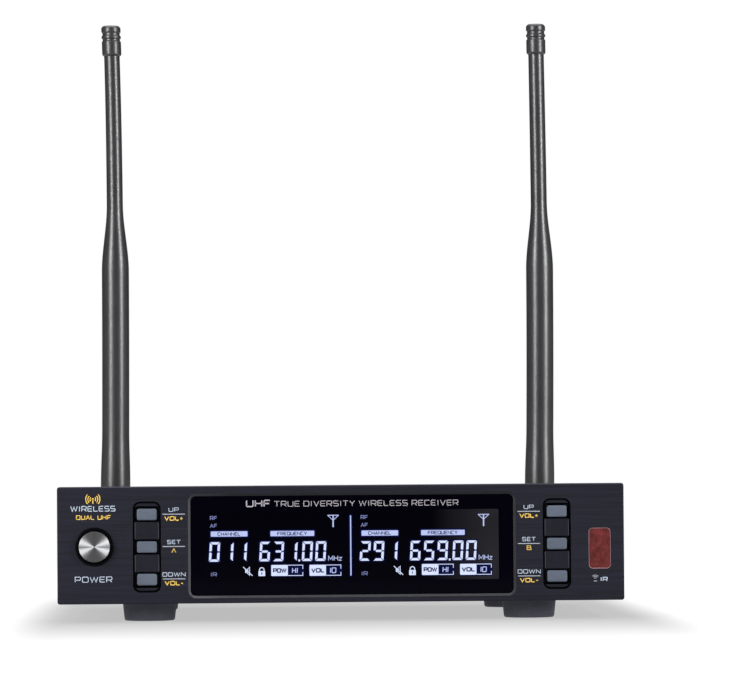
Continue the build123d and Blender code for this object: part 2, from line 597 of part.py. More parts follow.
# ---------------------------------------------------------------- power inlet
DC_MOUTH = CASE_BACK + 0.8
DC_FLOOR = DC_MOUTH - 9.5
DC_BODY_FRONT = DC_FLOOR - 3.5
DC_BODY_W = 11.0
DC_BORE_R = 3.15
DC_PIN_R = 1.05
DC_PIN_ROOT = DC_FLOOR - 2.0
with BuildPart() as dc_inlet:
    plate((DC_X, CONNECTOR_H, DC_BODY_W, DC_BODY_W), 0.6, DC_BODY_FRONT, REAR_INNER)
    rod(DC_X, CONNECTOR_H, DC_BODY_R, REAR_INNER, DC_MOUTH)
    fillet(dc_inlet.faces().sort_by(Axis.Y)[-1].outer_wire().edges(), radius=0.3)
    rod(DC_X, CONNECTOR_H, DC_BORE_R, DC_FLOOR, DC_MOUTH, mode=Mode.SUBTRACT)
    rod(DC_X, CONNECTOR_H, DC_PIN_R, DC_PIN_ROOT, DC_FLOOR, mode=Mode.SUBTRACT)
    dc_x = (DC_X - 4.0, DC_X + 4.0)
    dc_z = (MAIN_PCB_TOP, PANEL_BOTTOM + CONNECTOR_H - DC_BODY_W / 2)
    block(dc_x, (DC_BODY_FRONT, DC_FLOOR), dc_z)
dc_inlet.part.label = "dc_inlet"
export_step(dc_inlet.part, "parts/dc_inlet.step")

with BuildPart() as dc_pin:
    rod(DC_X, CONNECTOR_H, DC_PIN_R, DC_PIN_ROOT, DC_MOUTH - 1.0)
    fillet(dc_pin.faces().sort_by(Axis.Y)[-1].edges(), radius=0.4)
dc_pin.part.label = "dc_pin"
export_step(dc_pin.part, "parts/dc_pin.step")

# ---------------------------------------------------------------- antenna sockets
BARREL_END = 183.0
BARREL_BORE = 4.1
BARREL_FLOOR = 174.5
SOCKET_BODY_R = 6.2
SOCKET_FRONT = 158.5
CONTACT_R = 1.0
CONTACT_END = 181.0
LUG_R = 0.95
for name, side in SIDES.items():
    x = side * ANTENNA_X
    with BuildPart() as bnc_socket:
        rod(x, CONNECTOR_H, SOCKET_BODY_R, SOCKET_FRONT, REAR_INNER)
        rod(x, CONNECTOR_H, BARREL_R, REAR_INNER, BARREL_END)
        rod(x, CONNECTOR_H, BARREL_BORE, BARREL_FLOOR, BARREL_END, mode=Mode.SUBTRACT)
        rod(x, CONNECTOR_H, CONTACT_R, BARREL_FLOOR, CONTACT_END)
        for dh in (-1, 1):
            with Locations((x, FRONT_Y + LUG_DEPTH, TILT_Z + dh * (BARREL_R - 0.05))):
                Cylinder(LUG_R, 1.2)
        leg_x = (x - CONTACT_R, x + CONTACT_R)
        block(leg_x, (SOCKET_FRONT, SOCKET_FRONT + 2.0), (MAIN_PCB_TOP, TILT_Z - 5.0))
    bnc_socket.part.label = f"bnc_socket_{name}"
    export_step(bnc_socket.part, f"parts/bnc_socket_{name}.step")

# Hexagon nuts behind the rear panel: the jack's on its washer, and one on each antenna socket.
JACK_NUT_FLATS = 12.4
BNC_NUT_FLATS = 13.0
WASHER_R = 7.2
WASHER_BACK = CASE_BACK + 0.6
JACK_NUT_BACK = CASE_BACK + 2.8
BNC_NUT_BACK = CASE_BACK + 2.2
with BuildPart() as socket_nuts:
    rod(JACK_X, CONNECTOR_H, WASHER_R, CASE_BACK, WASHER_BACK)
    hexagon(JACK_X, CONNECTOR_H, JACK_NUT_FLATS, WASHER_BACK, JACK_NUT_BACK)
    rod(JACK_X, CONNECTOR_H, JACK_THREAD_R, CASE_BACK, JACK_NUT_BACK, mode=Mode.SUBTRACT)
    for side in SIDES.values():
        x = side * ANTENNA_X
        hexagon(x, CONNECTOR_H, BNC_NUT_FLATS, CASE_BACK, BNC_NUT_BACK)
        rod(x, CONNECTOR_H, BARREL_R, CASE_BACK, BNC_NUT_BACK, mode=Mode.SUBTRACT)
socket_nuts.part.label = "socket_nuts"
export_step(socket_nuts.part, "parts/socket_nuts.step")

# ---------------------------------------------------------------- antennas
RING_FRONT = 174.0
RING_BACK = 186.0
RING_R = 7.2
RING_BORE = BARREL_R + 0.3
RING_WEB = 184.5                       # front of the web that the collar pulls against
GROOVE_R = 5.8
GROOVE_HALF = 1.3
KNURL_R = 0.6
KNURL_DEPTH = (176.0, 184.0)
PLUG_FRONT = 176.5
PLUG_R = 4.0
PLUG_BORE_R = 3.2
COLLAR_R = 4.85
BODY_FRONT = 186.3
PLUG_BACK = BODY_FRONT + 1.5
FORK_FLOOR = ANTENNA_BACK - TONGUE_R - 0.25
WHIP_FOOT_Z = TILT_Z + 7.3
WHIP_CHAMFER = 0.5
FLARE_PULL = 11.0
PIN_CLEARANCE = 0.06
CAP_GROOVES = [(6.3, 7.4), (8.6, 10.0)]  # heights above the cap's lower rim
for name, side in SIDES.items():
    x = side * ANTENNA_X

    # Knurled bayonet ring: a round groove holds the socket's lugs, and two slots let them in.
    with BuildPart() as coupling_ring:
        rod(x, CONNECTOR_H, RING_R, RING_FRONT, RING_BACK)
        rod(x, CONNECTOR_H, RING_BORE, RING_FRONT, RING_WEB, mode=Mode.SUBTRACT)
        rod(x, CONNECTOR_H, PLUG_R + 0.3, RING_WEB, RING_BACK, mode=Mode.SUBTRACT)
        groove = (GROOVE_R, LUG_DEPTH - GROOVE_HALF, LUG_DEPTH + GROOVE_HALF)
        rod(x, CONNECTOR_H, *groove, mode=Mode.SUBTRACT)
        slot = (x, CONNECTOR_H, 2 * GROOVE_R, 2 * GROOVE_HALF)
        plate(slot, 0.3, RING_FRONT, LUG_DEPTH, mode=Mode.SUBTRACT)
        for angle in range(0, 360, 15):
            turn = math.radians(angle)
            groove_x = x + (RING_R + 0.25) * math.cos(turn)
            groove_h = CONNECTOR_H + (RING_R + 0.25) * math.sin(turn)
            rod(groove_x, groove_h, KNURL_R, *KNURL_DEPTH, mode=Mode.SUBTRACT)
    coupling_ring.part.label = f"coupling_ring_{name}"
    export_step(coupling_ring.part, f"parts/coupling_ring_{name}.step")

    # Plug body: a tube inside the ring and the socket's barrel, with a collar, seated in the elbow.
    with BuildPart() as antenna_plug:
        rod(x, CONNECTOR_H, PLUG_R, PLUG_FRONT, PLUG_BACK)
        rod(x, CONNECTOR_H, COLLAR_R, BARREL_END + 0.2, BARREL_END + 1.2)
        rod(x, CONNECTOR_H, PLUG_BORE_R, PLUG_FRONT, BARREL_END, mode=Mode.SUBTRACT)
    antenna_plug.part.label = f"antenna_plug_{name}"
    export_step(antenna_plug.part, f"parts/antenna_plug_{name}.step")

    # Elbow: a short round-ended body, forked for the whip's tongue.
    with BuildPart() as elbow:
        rod(x, CONNECTOR_H, ELBOW_R, BODY_FRONT, BOX_BACK)
        with BuildPart(mode=Mode.INTERSECT):
            block((x - 8, x + 8), (BODY_FRONT, ANTENNA_BACK), (TILT_Z - 8, TILT_Z + 8))
            with Locations((x, FRONT_Y + ANTENNA_BACK, TILT_Z)):
                Cylinder(ELBOW_R, 16, rotation=(0, 90, 0))
        fork = (x - TONGUE_W / 2 - 0.15, x + TONGUE_W / 2 + 0.15)
        block(fork, (FORK_FLOOR, BOX_BACK), (TILT_Z - 8, TILT_Z + 8), mode=Mode.SUBTRACT)
        rod(x, CONNECTOR_H, PLUG_R, BODY_FRONT, PLUG_BACK, mode=Mode.SUBTRACT)
        with Locations((x, FRONT_Y + ANTENNA_BACK, TILT_Z)):
            Cylinder(PIN_R, 20, rotation=(0, 90, 0), mode=Mode.SUBTRACT)
    elbow.part.label = f"elbow_{name}"
    export_step(elbow.part, f"parts/elbow_{name}.step")

    with BuildPart() as hinge_pin:
        with Locations((x, FRONT_Y + ANTENNA_BACK, TILT_Z)):
            Cylinder(PIN_R, 2 * ELBOW_R - 0.8, rotation=(0, 90, 0))
    hinge_pin.part.label = f"hinge_pin_{name}"
    export_step(hinge_pin.part, f"parts/hinge_pin_{name}.step")

    # Whip: a flat tongue on the pin, then a round rubber body with a long shoulder.
    axis_y = FRONT_Y + ANTENNA_BACK
    base_edge = x + WHIP_BASE_R
    thick_edge = x + WHIP_THICK_R
    thin_edge = x + WHIP_THIN_R
    with BuildPart() as whip:
        with BuildSketch(Plane.XZ.offset(-axis_y)) as whip_profile:
            with BuildLine():
                Polyline(
                    (x, WHIP_FOOT_Z), (base_edge - WHIP_CHAMFER, WHIP_FOOT_Z),
                    (base_edge, WHIP_FOOT_Z + WHIP_CHAMFER), (base_edge, WHIP_BASE_Z[0]),
                    (thick_edge, WHIP_BASE_Z[1]), (thick_edge, WHIP_FLARE_Z[0]),
                )
                Bezier(
                    (thick_edge, WHIP_FLARE_Z[0]), (thick_edge, WHIP_FLARE_Z[0] + FLARE_PULL),
                    (thin_edge, WHIP_FLARE_Z[1] - FLARE_PULL), (thin_edge, WHIP_FLARE_Z[1]),
                )
                Polyline(
                    (thin_edge, WHIP_FLARE_Z[1]), (thin_edge, WHIP_TOP_Z), (x, WHIP_TOP_Z),
                    (x, WHIP_FOOT_Z),
                )
            make_face()
        revolve(axis=Axis((x, axis_y, 0), (0, 0, 1)))
        with Locations((x, axis_y, TILT_Z)):
            Cylinder(TONGUE_R, TONGUE_W, rotation=(0, 90, 0))
        tongue_x = (x - TONGUE_W / 2, x + TONGUE_W / 2)
        tongue_depth = (ANTENNA_BACK - TONGUE_R + 0.6, ANTENNA_BACK + TONGUE_R - 0.6)
        block(tongue_x, tongue_depth, (TILT_Z, WHIP_FOOT_Z + 0.5))
        with Locations((x, axis_y, TILT_Z)):
            Cylinder(PIN_R + PIN_CLEARANCE, 20, rotation=(0, 90, 0), mode=Mode.SUBTRACT)
    whip.part.label = f"whip_{name}"
    export_step(whip.part, f"parts/whip_{name}.step")

    with BuildPart() as tip_cap:
        post(x, ANTENNA_BACK, CAP_R, WHIP_TOP_Z, WHIP_TOP_Z + CAP_H)
        rims = tip_cap.edges().filter_by(GeomType.CIRCLE).sort_by(Axis.Z)
        chamfer(rims[0], length=0.5)
        fillet(rims[-1], radius=1.2)
        for low, high in CAP_GROOVES:
            groove_z = (WHIP_TOP_Z + low, WHIP_TOP_Z + high)
            with BuildPart(mode=Mode.SUBTRACT):
                post(x, ANTENNA_BACK, CAP_R + 1, *groove_z)
                post(x, ANTENNA_BACK, CAP_R - 0.4, *groove_z, mode=Mode.SUBTRACT)
    tip_cap.part.label = f"tip_cap_{name}"
    export_step(tip_cap.part, f"parts/tip_cap_{name}.step")
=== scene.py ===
"""Looks of the half-rack wireless receiver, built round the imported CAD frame.

Lengths named in millimetres are turned to metres by MM. Places on the fascia are given as millimetres
right of its middle, above its bottom edge and behind its front face.
"""
import math

import bmesh
import bpy
from mathutils import Matrix, Vector

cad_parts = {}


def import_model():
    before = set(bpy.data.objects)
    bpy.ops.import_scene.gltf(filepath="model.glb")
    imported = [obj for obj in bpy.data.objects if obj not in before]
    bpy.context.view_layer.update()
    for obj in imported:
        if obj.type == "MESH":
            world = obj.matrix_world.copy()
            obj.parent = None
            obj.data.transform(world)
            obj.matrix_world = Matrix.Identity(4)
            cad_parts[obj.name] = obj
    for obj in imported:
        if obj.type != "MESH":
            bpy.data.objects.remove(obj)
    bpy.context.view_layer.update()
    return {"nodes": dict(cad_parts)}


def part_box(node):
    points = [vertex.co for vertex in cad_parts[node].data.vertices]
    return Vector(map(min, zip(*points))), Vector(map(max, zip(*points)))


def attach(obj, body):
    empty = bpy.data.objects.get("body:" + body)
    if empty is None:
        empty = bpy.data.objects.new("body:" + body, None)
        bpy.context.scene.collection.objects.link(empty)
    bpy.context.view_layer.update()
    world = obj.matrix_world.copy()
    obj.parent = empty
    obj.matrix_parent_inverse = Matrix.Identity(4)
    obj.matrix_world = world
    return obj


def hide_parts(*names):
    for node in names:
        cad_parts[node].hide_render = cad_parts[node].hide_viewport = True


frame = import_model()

MM = 0.001
PANEL_LOW, PANEL_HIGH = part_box("front_panel")
PANEL_MIDDLE = (PANEL_LOW.x + PANEL_HIGH.x) / 2
REAR_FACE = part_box("rear_panel")[1].y

WHITE_INK = (0.32, 0.375, 0.45)
LINE_INK = (0.24, 0.26, 0.30)
AMBER_INK = (0.56, 0.36, 0.055)
GREY_INK = (0.25, 0.235, 0.255)


def at(x, height, depth=0.0):
    """A place on the fascia, in the frame's metres."""
    return Vector((PANEL_MIDDLE + x * MM, PANEL_LOW.y + depth * MM, PANEL_LOW.z + height * MM))


def behind(x, height, depth=0.0):
    """A place on the rear panel as seen from the back: x runs to the viewer's right."""
    return Vector((PANEL_MIDDLE - x * MM, REAR_FACE - depth * MM, PANEL_LOW.z + height * MM))


def local_box(node):
    """A node's middle, size and depths on the fascia, in millimetres."""
    low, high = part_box(node)
    x = ((low.x + high.x) / 2 - PANEL_MIDDLE) / MM
    height = ((low.z + high.z) / 2 - PANEL_LOW.z) / MM
    size = ((high.x - low.x) / MM, (high.z - low.z) / MM)
    return (x, height), size, ((low.y - PANEL_LOW.y) / MM, (high.y - PANEL_LOW.y) / MM)


# ------------------------------------------------------------------ shader nodes
def calculate(tree, operation, first, second=0.0):
    """A maths node whose inputs are numbers or other nodes' outputs."""
    node = tree.nodes.new("ShaderNodeMath")
    node.operation = operation
    for socket, value in zip(node.inputs, (first, second)):
        if isinstance(value, (int, float)):
            socket.default_value = value
        else:
            tree.links.new(value, socket)
    return node.outputs[0]


def remap(tree, value, low, high, out_low, out_high, interpolation="LINEAR"):
    node = tree.nodes.new("ShaderNodeMapRange")
    node.interpolation_type = interpolation
    limits = {"From Min": low, "From Max": high, "To Min": out_low, "To Max": out_high}
    for name, number in limits.items():
        node.inputs[name].default_value = number
    tree.links.new(value, node.inputs["Value"])
    return node.outputs["Result"]


def components(tree, vector):
    """The x, y and z outputs of a vector."""
    node = tree.nodes.new("ShaderNodeSeparateXYZ")
    tree.links.new(vector, node.inputs[0])
    return node.outputs


# ------------------------------------------------------------------ materials
class Surface:
    """A node material being built: a Principled shader, with textures in the object's own metres."""

    def __init__(self, name, base, roughness=0.5, metallic=0.0, **sockets):
        self.material = bpy.data.materials.new(name)
        self.material.use_nodes = True
        self.tree = self.material.node_tree
        self.nodes = self.tree.nodes
        self.links = self.tree.links
        self.shader = self.nodes["Principled BSDF"]
        self.base = base
        self.set("Base Color", (*base, 1))
        self.set("Roughness", roughness)
        self.set("Metallic", metallic)
        for socket, value in sockets.items():
            self.set(socket.replace("_", " "), value)
        self.place = self.nodes.new("ShaderNodeTexCoord").outputs["Object"]

    def set(self, socket, value):
        self.shader.inputs[socket].default_value = value

    def noise(self, scale, stretch=(1, 1, 1), detail=2.0, rough=0.5):
        mapping = self.nodes.new("ShaderNodeMapping")
        mapping.inputs["Scale"].default_value = stretch
        self.links.new(self.place, mapping.inputs["Vector"])
        texture = self.nodes.new("ShaderNodeTexNoise")
        texture.inputs["Scale"].default_value = scale
        texture.inputs["Detail"].default_value = detail
        texture.inputs["Roughness"].default_value = rough
        self.links.new(mapping.outputs["Vector"], texture.inputs["Vector"])
        return texture.outputs["Fac"]

    def spread(self, value, low, high, out_low, out_high):
        return remap(self.tree, value, low, high, out_low, out_high)

    def tint(self, value, low, high, amount_low, amount_high):
        """Lets a texture run the base colour from a darker to a lighter multiple of itself."""
        mix = self.nodes.new("ShaderNodeMix")
        mix.data_type = "RGBA"
        mix.inputs["A"].default_value = (*[c * amount_low for c in self.base], 1)
        mix.inputs["B"].default_value = (*[min(1, c * amount_high) for c in self.base], 1)
        self.links.new(self.spread(value, low, high, 0, 1), mix.inputs["Factor"])
        self.links.new(mix.outputs["Result"], self.shader.inputs["Base Color"])

    def roughen(self, value, low, high, out_low, out_high):
        self.links.new(self.spread(value, low, high, out_low, out_high), self.shader.inputs["Roughness"])

    def bump(self, value, distance, strength=1.0):
        node = self.nodes.new("ShaderNodeBump")
        node.inputs["Distance"].default_value = distance
        node.inputs["Strength"].default_value = strength
        self.links.new(value, node.inputs["Height"])
        self.links.new(node.outputs["Normal"], self.shader.inputs["Normal"])


def moulded(name, base, roughness, grain, depth, **sockets):
    """Plastic or rubber with a fine moulded grain and faint cloudiness."""
    surface = Surface(name, base, roughness, **sockets)
    fine = surface.noise(grain, detail=3.0)
    surface.tint(surface.noise(90, detail=3.0), 0.3, 0.7, 0.86, 1.16)
    surface.roughen(fine, 0.3, 0.7, roughness - 0.06, roughness + 0.06)
    surface.bump(fine, depth)
    return surface.material


def brushed_fascia():
    """Black anodised aluminium, brushed from side to side."""
    surface = Surface("fascia_brushed", (0.0098, 0.0098, 0.0180), 0.44, 0.7)
    surface.set("Anisotropic", 0.4)
    long_lines = surface.noise(1, (26, 26, 1150), 3.0, 0.6)
    hair_lines = surface.noise(1, (80, 80, 4200), 2.0, 0.6)
    mixed = surface.nodes.new("ShaderNodeMix")
    mixed.inputs["Factor"].default_value = 0.45
    surface.links.new(long_lines, mixed.inputs["A"])
    surface.links.new(hair_lines, mixed.inputs["B"])
    lines = mixed.outputs["Result"]
    surface.tint(lines, 0.38, 0.62, 0.52, 1.48)
    surface.roughen(lines, 0.3, 0.7, 0.50, 0.38)
    surface.bump(lines, 0.00002, 0.35)
    return surface.material


def spun_metal_painted_highlight():
    """Metal turned on a lathe, with a painted highlight: bright wedges and fine rays painted round the
    cap's middle.
    """
    surface = Surface("power_button_spun_painted_highlight", (0.30, 0.30, 0.31), 0.5, 0.2)
    surface.set("Specular IOR Level", 0.05)
    nodes, links = surface.nodes, surface.links
    low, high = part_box("power_button_cap")
    middle = (low + high) / 2
    offset = nodes.new("ShaderNodeVectorMath")
    offset.operation = "SUBTRACT"
    offset.inputs[1].default_value = (middle.x, 0, middle.z)
    links.new(surface.place, offset.inputs[0])
    x, _, z = components(surface.tree, offset.outputs[0])
    rise = calculate(surface.tree, "ABSOLUTE", z)
    run = calculate(surface.tree, "ABSOLUTE", x)
    angle = calculate(surface.tree, "ARCTAN2", rise, run)
    turn = calculate(surface.tree, "ARCTAN2", z, x)
    rays = nodes.new("ShaderNodeTexNoise")
    rays.noise_dimensions = "1D"
    rays.inputs["Scale"].default_value = 26.0
    rays.inputs["Detail"].default_value = 3.0
    links.new(turn, rays.inputs["W"])
    jitter = surface.spread(rays.outputs["Fac"], 0.3, 0.7, -0.09, 0.09)
    painted_wedges = nodes.new("ShaderNodeValToRGB")
    share = calculate(surface.tree, "DIVIDE", angle, math.pi / 2)
    links.new(calculate(surface.tree, "ADD", share, jitter), painted_wedges.inputs["Fac"])
    # Painted highlight: share of a quarter turn above or below level, and the painted grey there, bright in
    # wedges near level and dark above and below.
    stops = ((0.0, 0.10), (0.07, 0.24), (0.16, 0.46), (0.30, 0.44), (0.42, 0.15), (0.62, 0.052),
             (1.0, 0.042))
    ramp = painted_wedges.color_ramp
    ramp.elements[0].position, ramp.elements[1].position = stops[0][0], stops[-1][0]
    for position, _ in stops[1:-1]:
        ramp.elements.new(position)
    for element, (_, value) in zip(ramp.elements, stops):
        element.color = (value, value, value * 1.03, 1)
    links.new(painted_wedges.outputs["Color"], surface.shader.inputs["Base Color"])
    turned = surface.noise(900, detail=2.0)
    surface.roughen(turned, 0.3, 0.7, 0.44, 0.56)
    return surface.material


def metal(name, base, roughness, scratch=500, metallic=1.0):
    surface = Surface(name, base, roughness, metallic)
    wear = surface.noise(scratch, detail=4.0)
    surface.tint(wear, 0.3, 0.7, 0.86, 1.1)
    surface.roughen(wear, 0.3, 0.7, roughness - 0.08, roughness + 0.1)
    surface.bump(wear, 0.00001)
    return surface.material


def machined_chamfer_painted_highlight():
    """Bare machined edge of the display opening, with a painted highlight on its left side fading to
    painted shade on its right.
    """
    surface = Surface("machined_chamfer_painted_highlight", (0.046, 0.046, 0.053), 0.42, 0.6)
    x = components(surface.tree, surface.place)["X"]
    # Painted highlight and shade: lighter towards the left, darker towards the right.
    surface.tint(x, -0.056, -0.040, 1.1, 0.5)
    surface.roughen(surface.noise(900, detail=4.0), 0.3, 0.7, 0.36, 0.5)
    return surface.material


def powder_coat():
    """Fine-grained black paint on folded steel."""
    surface = Surface("case_powder_coat", (0.022, 0.022, 0.025), 0.62)
    surface.set("Specular IOR Level", 0.3)
    grain = surface.noise(2600, detail=3.0, rough=0.6)
    surface.tint(surface.noise(55, detail=4.0), 0.3, 0.7, 0.85, 1.2)
    surface.roughen(grain, 0.3, 0.7, 0.56, 0.72)
    surface.bump(grain, 0.00006, 0.7)
    return surface.material


def lit(name, colour, strength):
    """A glowing ink, such as a lit display segment."""
    surface = Surface(name, (0.001, 0.001, 0.002), 0.4)
    surface.set("Specular IOR Level", 0.0)
    surface.set("Emission Color", (*colour, 1))
    cloud = surface.noise(420, detail=2.0)
    surface.links.new(
        surface.spread(cloud, 0.3, 0.7, strength * 0.94, strength * 1.04),
        surface.shader.inputs["Emission Strength"],
    )
    return surface.material


def gloss_black():
    surface = Surface("window_acrylic", (0.0008, 0.0006, 0.0020), 0.07)
    surface.set("Specular IOR Level", 0.02)
    dust = surface.noise(700, detail=5.0, rough=0.7)
    surface.roughen(dust, 0.45, 0.75, 0.05, 0.14)
    surface.tint(dust, 0.6, 0.85, 1.0, 2.4)
    return surface.material


def display_glass():
    """Near-black glass with a painted reflection: a soft charcoal glow towards its right end."""
    surface = Surface("lcd_panel", (0.0004, 0.0004, 0.0014), 0.15)
    surface.set("Specular IOR Level", 0.03)
    surface.set("Emission Color", (0.86, 0.84, 0.92, 1))
    x = components(surface.tree, surface.place)["X"]
    # Painted reflection: the glow rises towards the right end and is broken up by a faint cloud.
    painted_reflection = surface.spread(x, 0.034, 0.056, 0.0, 0.026)
    cloud = surface.spread(surface.noise(70, detail=3.0), 0.3, 0.7, 0.75, 1.15)
    glow = calculate(surface.tree, "MULTIPLY", painted_reflection, cloud)
    surface.links.new(glow, surface.shader.inputs["Emission Strength"])
    return surface.material


def ink(name, base):
    surface = Surface(name, base, 0.55)
    surface.tint(surface.noise(1500, detail=2.0), 0.3, 0.7, 0.86, 1.1)
    return surface.material


MATERIALS = {
    "fascia": brushed_fascia(),
    "window": gloss_black(),
    "spun": spun_metal_painted_highlight(),
    "ring": moulded("power_ring_black", (0.0008, 0.0008, 0.0014), 0.3, 1500, 0.00001,
                    Specular_IOR_Level=0.06),
    "bezel": moulded("bezel_charcoal", (0.0065, 0.0065, 0.0110), 0.5, 2600, 0.00005,
                     Specular_IOR_Level=0.12),
    "chamfer": machined_chamfer_painted_highlight(),
    # Painted highlight: light strips along the sides of the slot blocks.
    "glint": moulded("slot_edge_painted_highlight", (0.040, 0.041, 0.048), 0.5, 2600, 0.00002, Specular_IOR_Level=0.1),
    "slot_black": moulded("slot_black", (0.002, 0.002, 0.0025), 0.6, 1800, 0.00002,
                          Specular_IOR_Level=0.1),
    "key": moulded("key_grey_blue", (0.047, 0.060, 0.086), 0.6, 3400, 0.00012),
    "whip": moulded("whip_rubber", (0.017, 0.017, 0.0185), 0.33, 1800, 0.00002),
    "cap": moulded("tip_cap_rubber", (0.018, 0.018, 0.020), 0.36, 1800, 0.00002),
    "elbow": moulded("elbow_plastic", (0.014, 0.014, 0.015), 0.42, 1800, 0.00002),
    "foot": moulded("foot_rubber", (0.054, 0.057, 0.076), 0.72, 1400, 0.00005),
    "connector": moulded("connector_black", (0.012, 0.012, 0.013), 0.45, 1800, 0.00002),
    "case": powder_coat(),
    "nickel": metal("nickel_plate", (0.62, 0.60, 0.56), 0.24),
    "gold": metal("gold_plate", (0.80, 0.56, 0.22), 0.25),
    "zinc": metal("zinc_screw", (0.50, 0.50, 0.51), 0.34),
    "black_screw": metal("black_oxide_screw", (0.03, 0.03, 0.032), 0.38),
    "tin": metal("tin_plate", (0.58, 0.58, 0.60), 0.36),
    "heatsink": metal("anodised_heatsink", (0.05, 0.05, 0.052), 0.45),
    "board": moulded("solder_mask", (0.008, 0.07, 0.03), 0.32, 900, 0.00001),
    "sleeve": moulded("capacitor_sleeve", (0.012, 0.014, 0.045), 0.3, 900, 0.00001),
    "ribbon": moulded("ribbon_grey", (0.36, 0.36, 0.38), 0.55, 900, 0.00001),
    "lcd": display_glass(),
    "lit": lit("segment_light", (0.68, 0.76, 1.0), 1.06),
    "lit_soft": lit("segment_light_soft", (0.55, 0.63, 1.0), 0.94),
    "lit_dim": lit("segment_light_dim", (0.30, 0.34, 0.70), 0.72),
    "glow": lit("segment_glow", (0.010, 0.016, 0.20), 0.22),
    "lcd_dark": ink("segment_gap", (0.004, 0.006, 0.05)),
    "white_ink": ink("label_white", WHITE_INK),
    "line_ink": ink("label_line", LINE_INK),
    "amber_ink": ink("label_amber", AMBER_INK),
    "grey_ink": ink("label_grey", GREY_INK),
}


def infrared_acrylic():
    surface = Surface("infrared_acrylic", (0.078, 0.0150, 0.0145), 0.3)
    surface.set("Specular IOR Level", 0.1)
    cloud = surface.noise(420, detail=5.0, rough=0.75)
    surface.tint(cloud, 0.36, 0.64, 0.62, 1.4)
    surface.roughen(surface.noise(1600, detail=3.0), 0.4, 0.7, 0.22, 0.4)
    return surface.material


MATERIALS["infrared"] = infrared_acrylic()
# Painted highlight: a light-pink rim round the infrared window.
MATERIALS["infrared_rim_painted_highlight"] = ink("infrared_rim_painted_highlight", (0.30, 0.17, 0.18))


def dress(piece, key):
    piece.data.materials.clear()
    piece.data.materials.append(MATERIALS[key])


NODE_MATERIALS = {
    "fascia": "front_panel",
    "case": "chassis front_bracket rear_panel top_cover",
    "black_screw": "cover_screws xlr_screws",
    "zinc": "pan_screws pcb_screws",
    "connector": ("lcd_frame ir_sensor tact_switches power_switch xlr_output_a xlr_output_b "
                  "mix_output_jack dc_inlet power_button_stem"),
    "lcd": "lcd_glass",
    "lcd_dark": "lcd_backlight",
    "board": "front_pcb main_pcb",
    "gold": "pcb_standoffs xlr_contacts",
    "tin": "rf_shields",
    "sleeve": "capacitors",
    "heatsink": "heatsink",
    "ribbon": "ribbon_cable",
    "nickel": ("socket_nuts dc_pin bnc_socket_left bnc_socket_right coupling_ring_left coupling_ring_right "
               "hinge_pin_left hinge_pin_right antenna_plug_left antenna_plug_right"),
    "elbow": "elbow_left elbow_right",
}
for key, names in NODE_MATERIALS.items():
    for node_name in names.split():
        dress(frame["nodes"][node_name], key)


# ------------------------------------------------------------------ mesh tools
def make_object(name, mesh_builder, key, body, sharp_angle=32):
    """Turns a bmesh into a piece with smooth faces and sharp folds, and seats it on its body."""
    bmesh.ops.recalc_face_normals(mesh_builder, faces=mesh_builder.faces[:])
    for face in mesh_builder.faces:
        face.smooth = True
    limit = math.radians(sharp_angle)
    for edge in mesh_builder.edges:
        edge.smooth = len(edge.link_faces) == 2 and edge.calc_face_angle(0) < limit
    mesh = bpy.data.meshes.new(name)
    mesh_builder.to_mesh(mesh)
    mesh_builder.free()
    piece = bpy.data.objects.new(name, mesh)
    bpy.context.scene.collection.objects.link(piece)
    mesh.materials.append(MATERIALS[key])
    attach(piece, body)
    return piece


def arc(centre, radius, first, last, steps=8):
    """Points on a circle between two angles in degrees."""
    points = []
    for step in range(steps + 1):
        angle = math.radians(first + (last - first) * step / steps)
        points.append((centre[0] + radius * math.cos(angle), centre[1] + radius * math.sin(angle)))
    return points


def rounded_outline(width, tall, radius, steps=8):
    """Corner-rounded rectangle about the origin, anticlockwise."""
    radius = max(0.02, min(radius, width / 2, tall / 2))
    points = []
    for quarter, (side, end) in enumerate(((1, 1), (-1, 1), (-1, -1), (1, -1))):
        centre = (side * (width / 2 - radius), end * (tall / 2 - radius))
        points += arc(centre, radius, 90 * quarter, 90 * quarter + 90, steps)
    return points


def add_ring(mesh_builder, outline, centre, depth):
    return [mesh_builder.verts.new(at(centre[0] + x, centre[1] + y, depth)) for x, y in outline]


def bridge(mesh_builder, ring_a, ring_b):
    count = len(ring_a)
    for i in range(count):
        j = (i + 1) % count
        mesh_builder.faces.new((ring_a[i], ring_a[j], ring_b[j], ring_b[i]))


# A thin border round a flat front face keeps its shading flat.
FLAT_BORDER = 0.04


def stack(mesh_builder, outline_of, centre, stages, closed=True):
    """Block as a stack of outlines. Each stage is (inset, depth), from the back to the front."""
    if closed:
        stages = stages + [(stages[-1][0] + FLAT_BORDER, stages[-1][1])]
    rings = [add_ring(mesh_builder, outline_of(inset), centre, depth) for inset, depth in stages]
    for ring_a, ring_b in zip(rings, rings[1:]):
        bridge(mesh_builder, ring_a, ring_b)
    if closed:
        mesh_builder.faces.new(rings[0])
        mesh_builder.faces.new(rings[-1])
    return rings


def slab(mesh_builder, centre, size, radius, stages, closed=True):
    """Block with rounded corners, as a stack of outlines."""
    def outline_of(inset):
        return rounded_outline(size[0] - 2 * inset, size[1] - 2 * inset, radius - inset)

    return stack(mesh_builder, outline_of, centre, stages, closed)


def edge_round(radius, depth, steps=5):
    """Stages that round a front edge of the given radius whose face lies at the given depth."""
    stages = []
    for step in range(steps + 1):
        angle = step / steps * math.pi / 2
        stages.append((radius * (1 - math.cos(angle)), depth + radius * (1 - math.sin(angle))))
    return stages


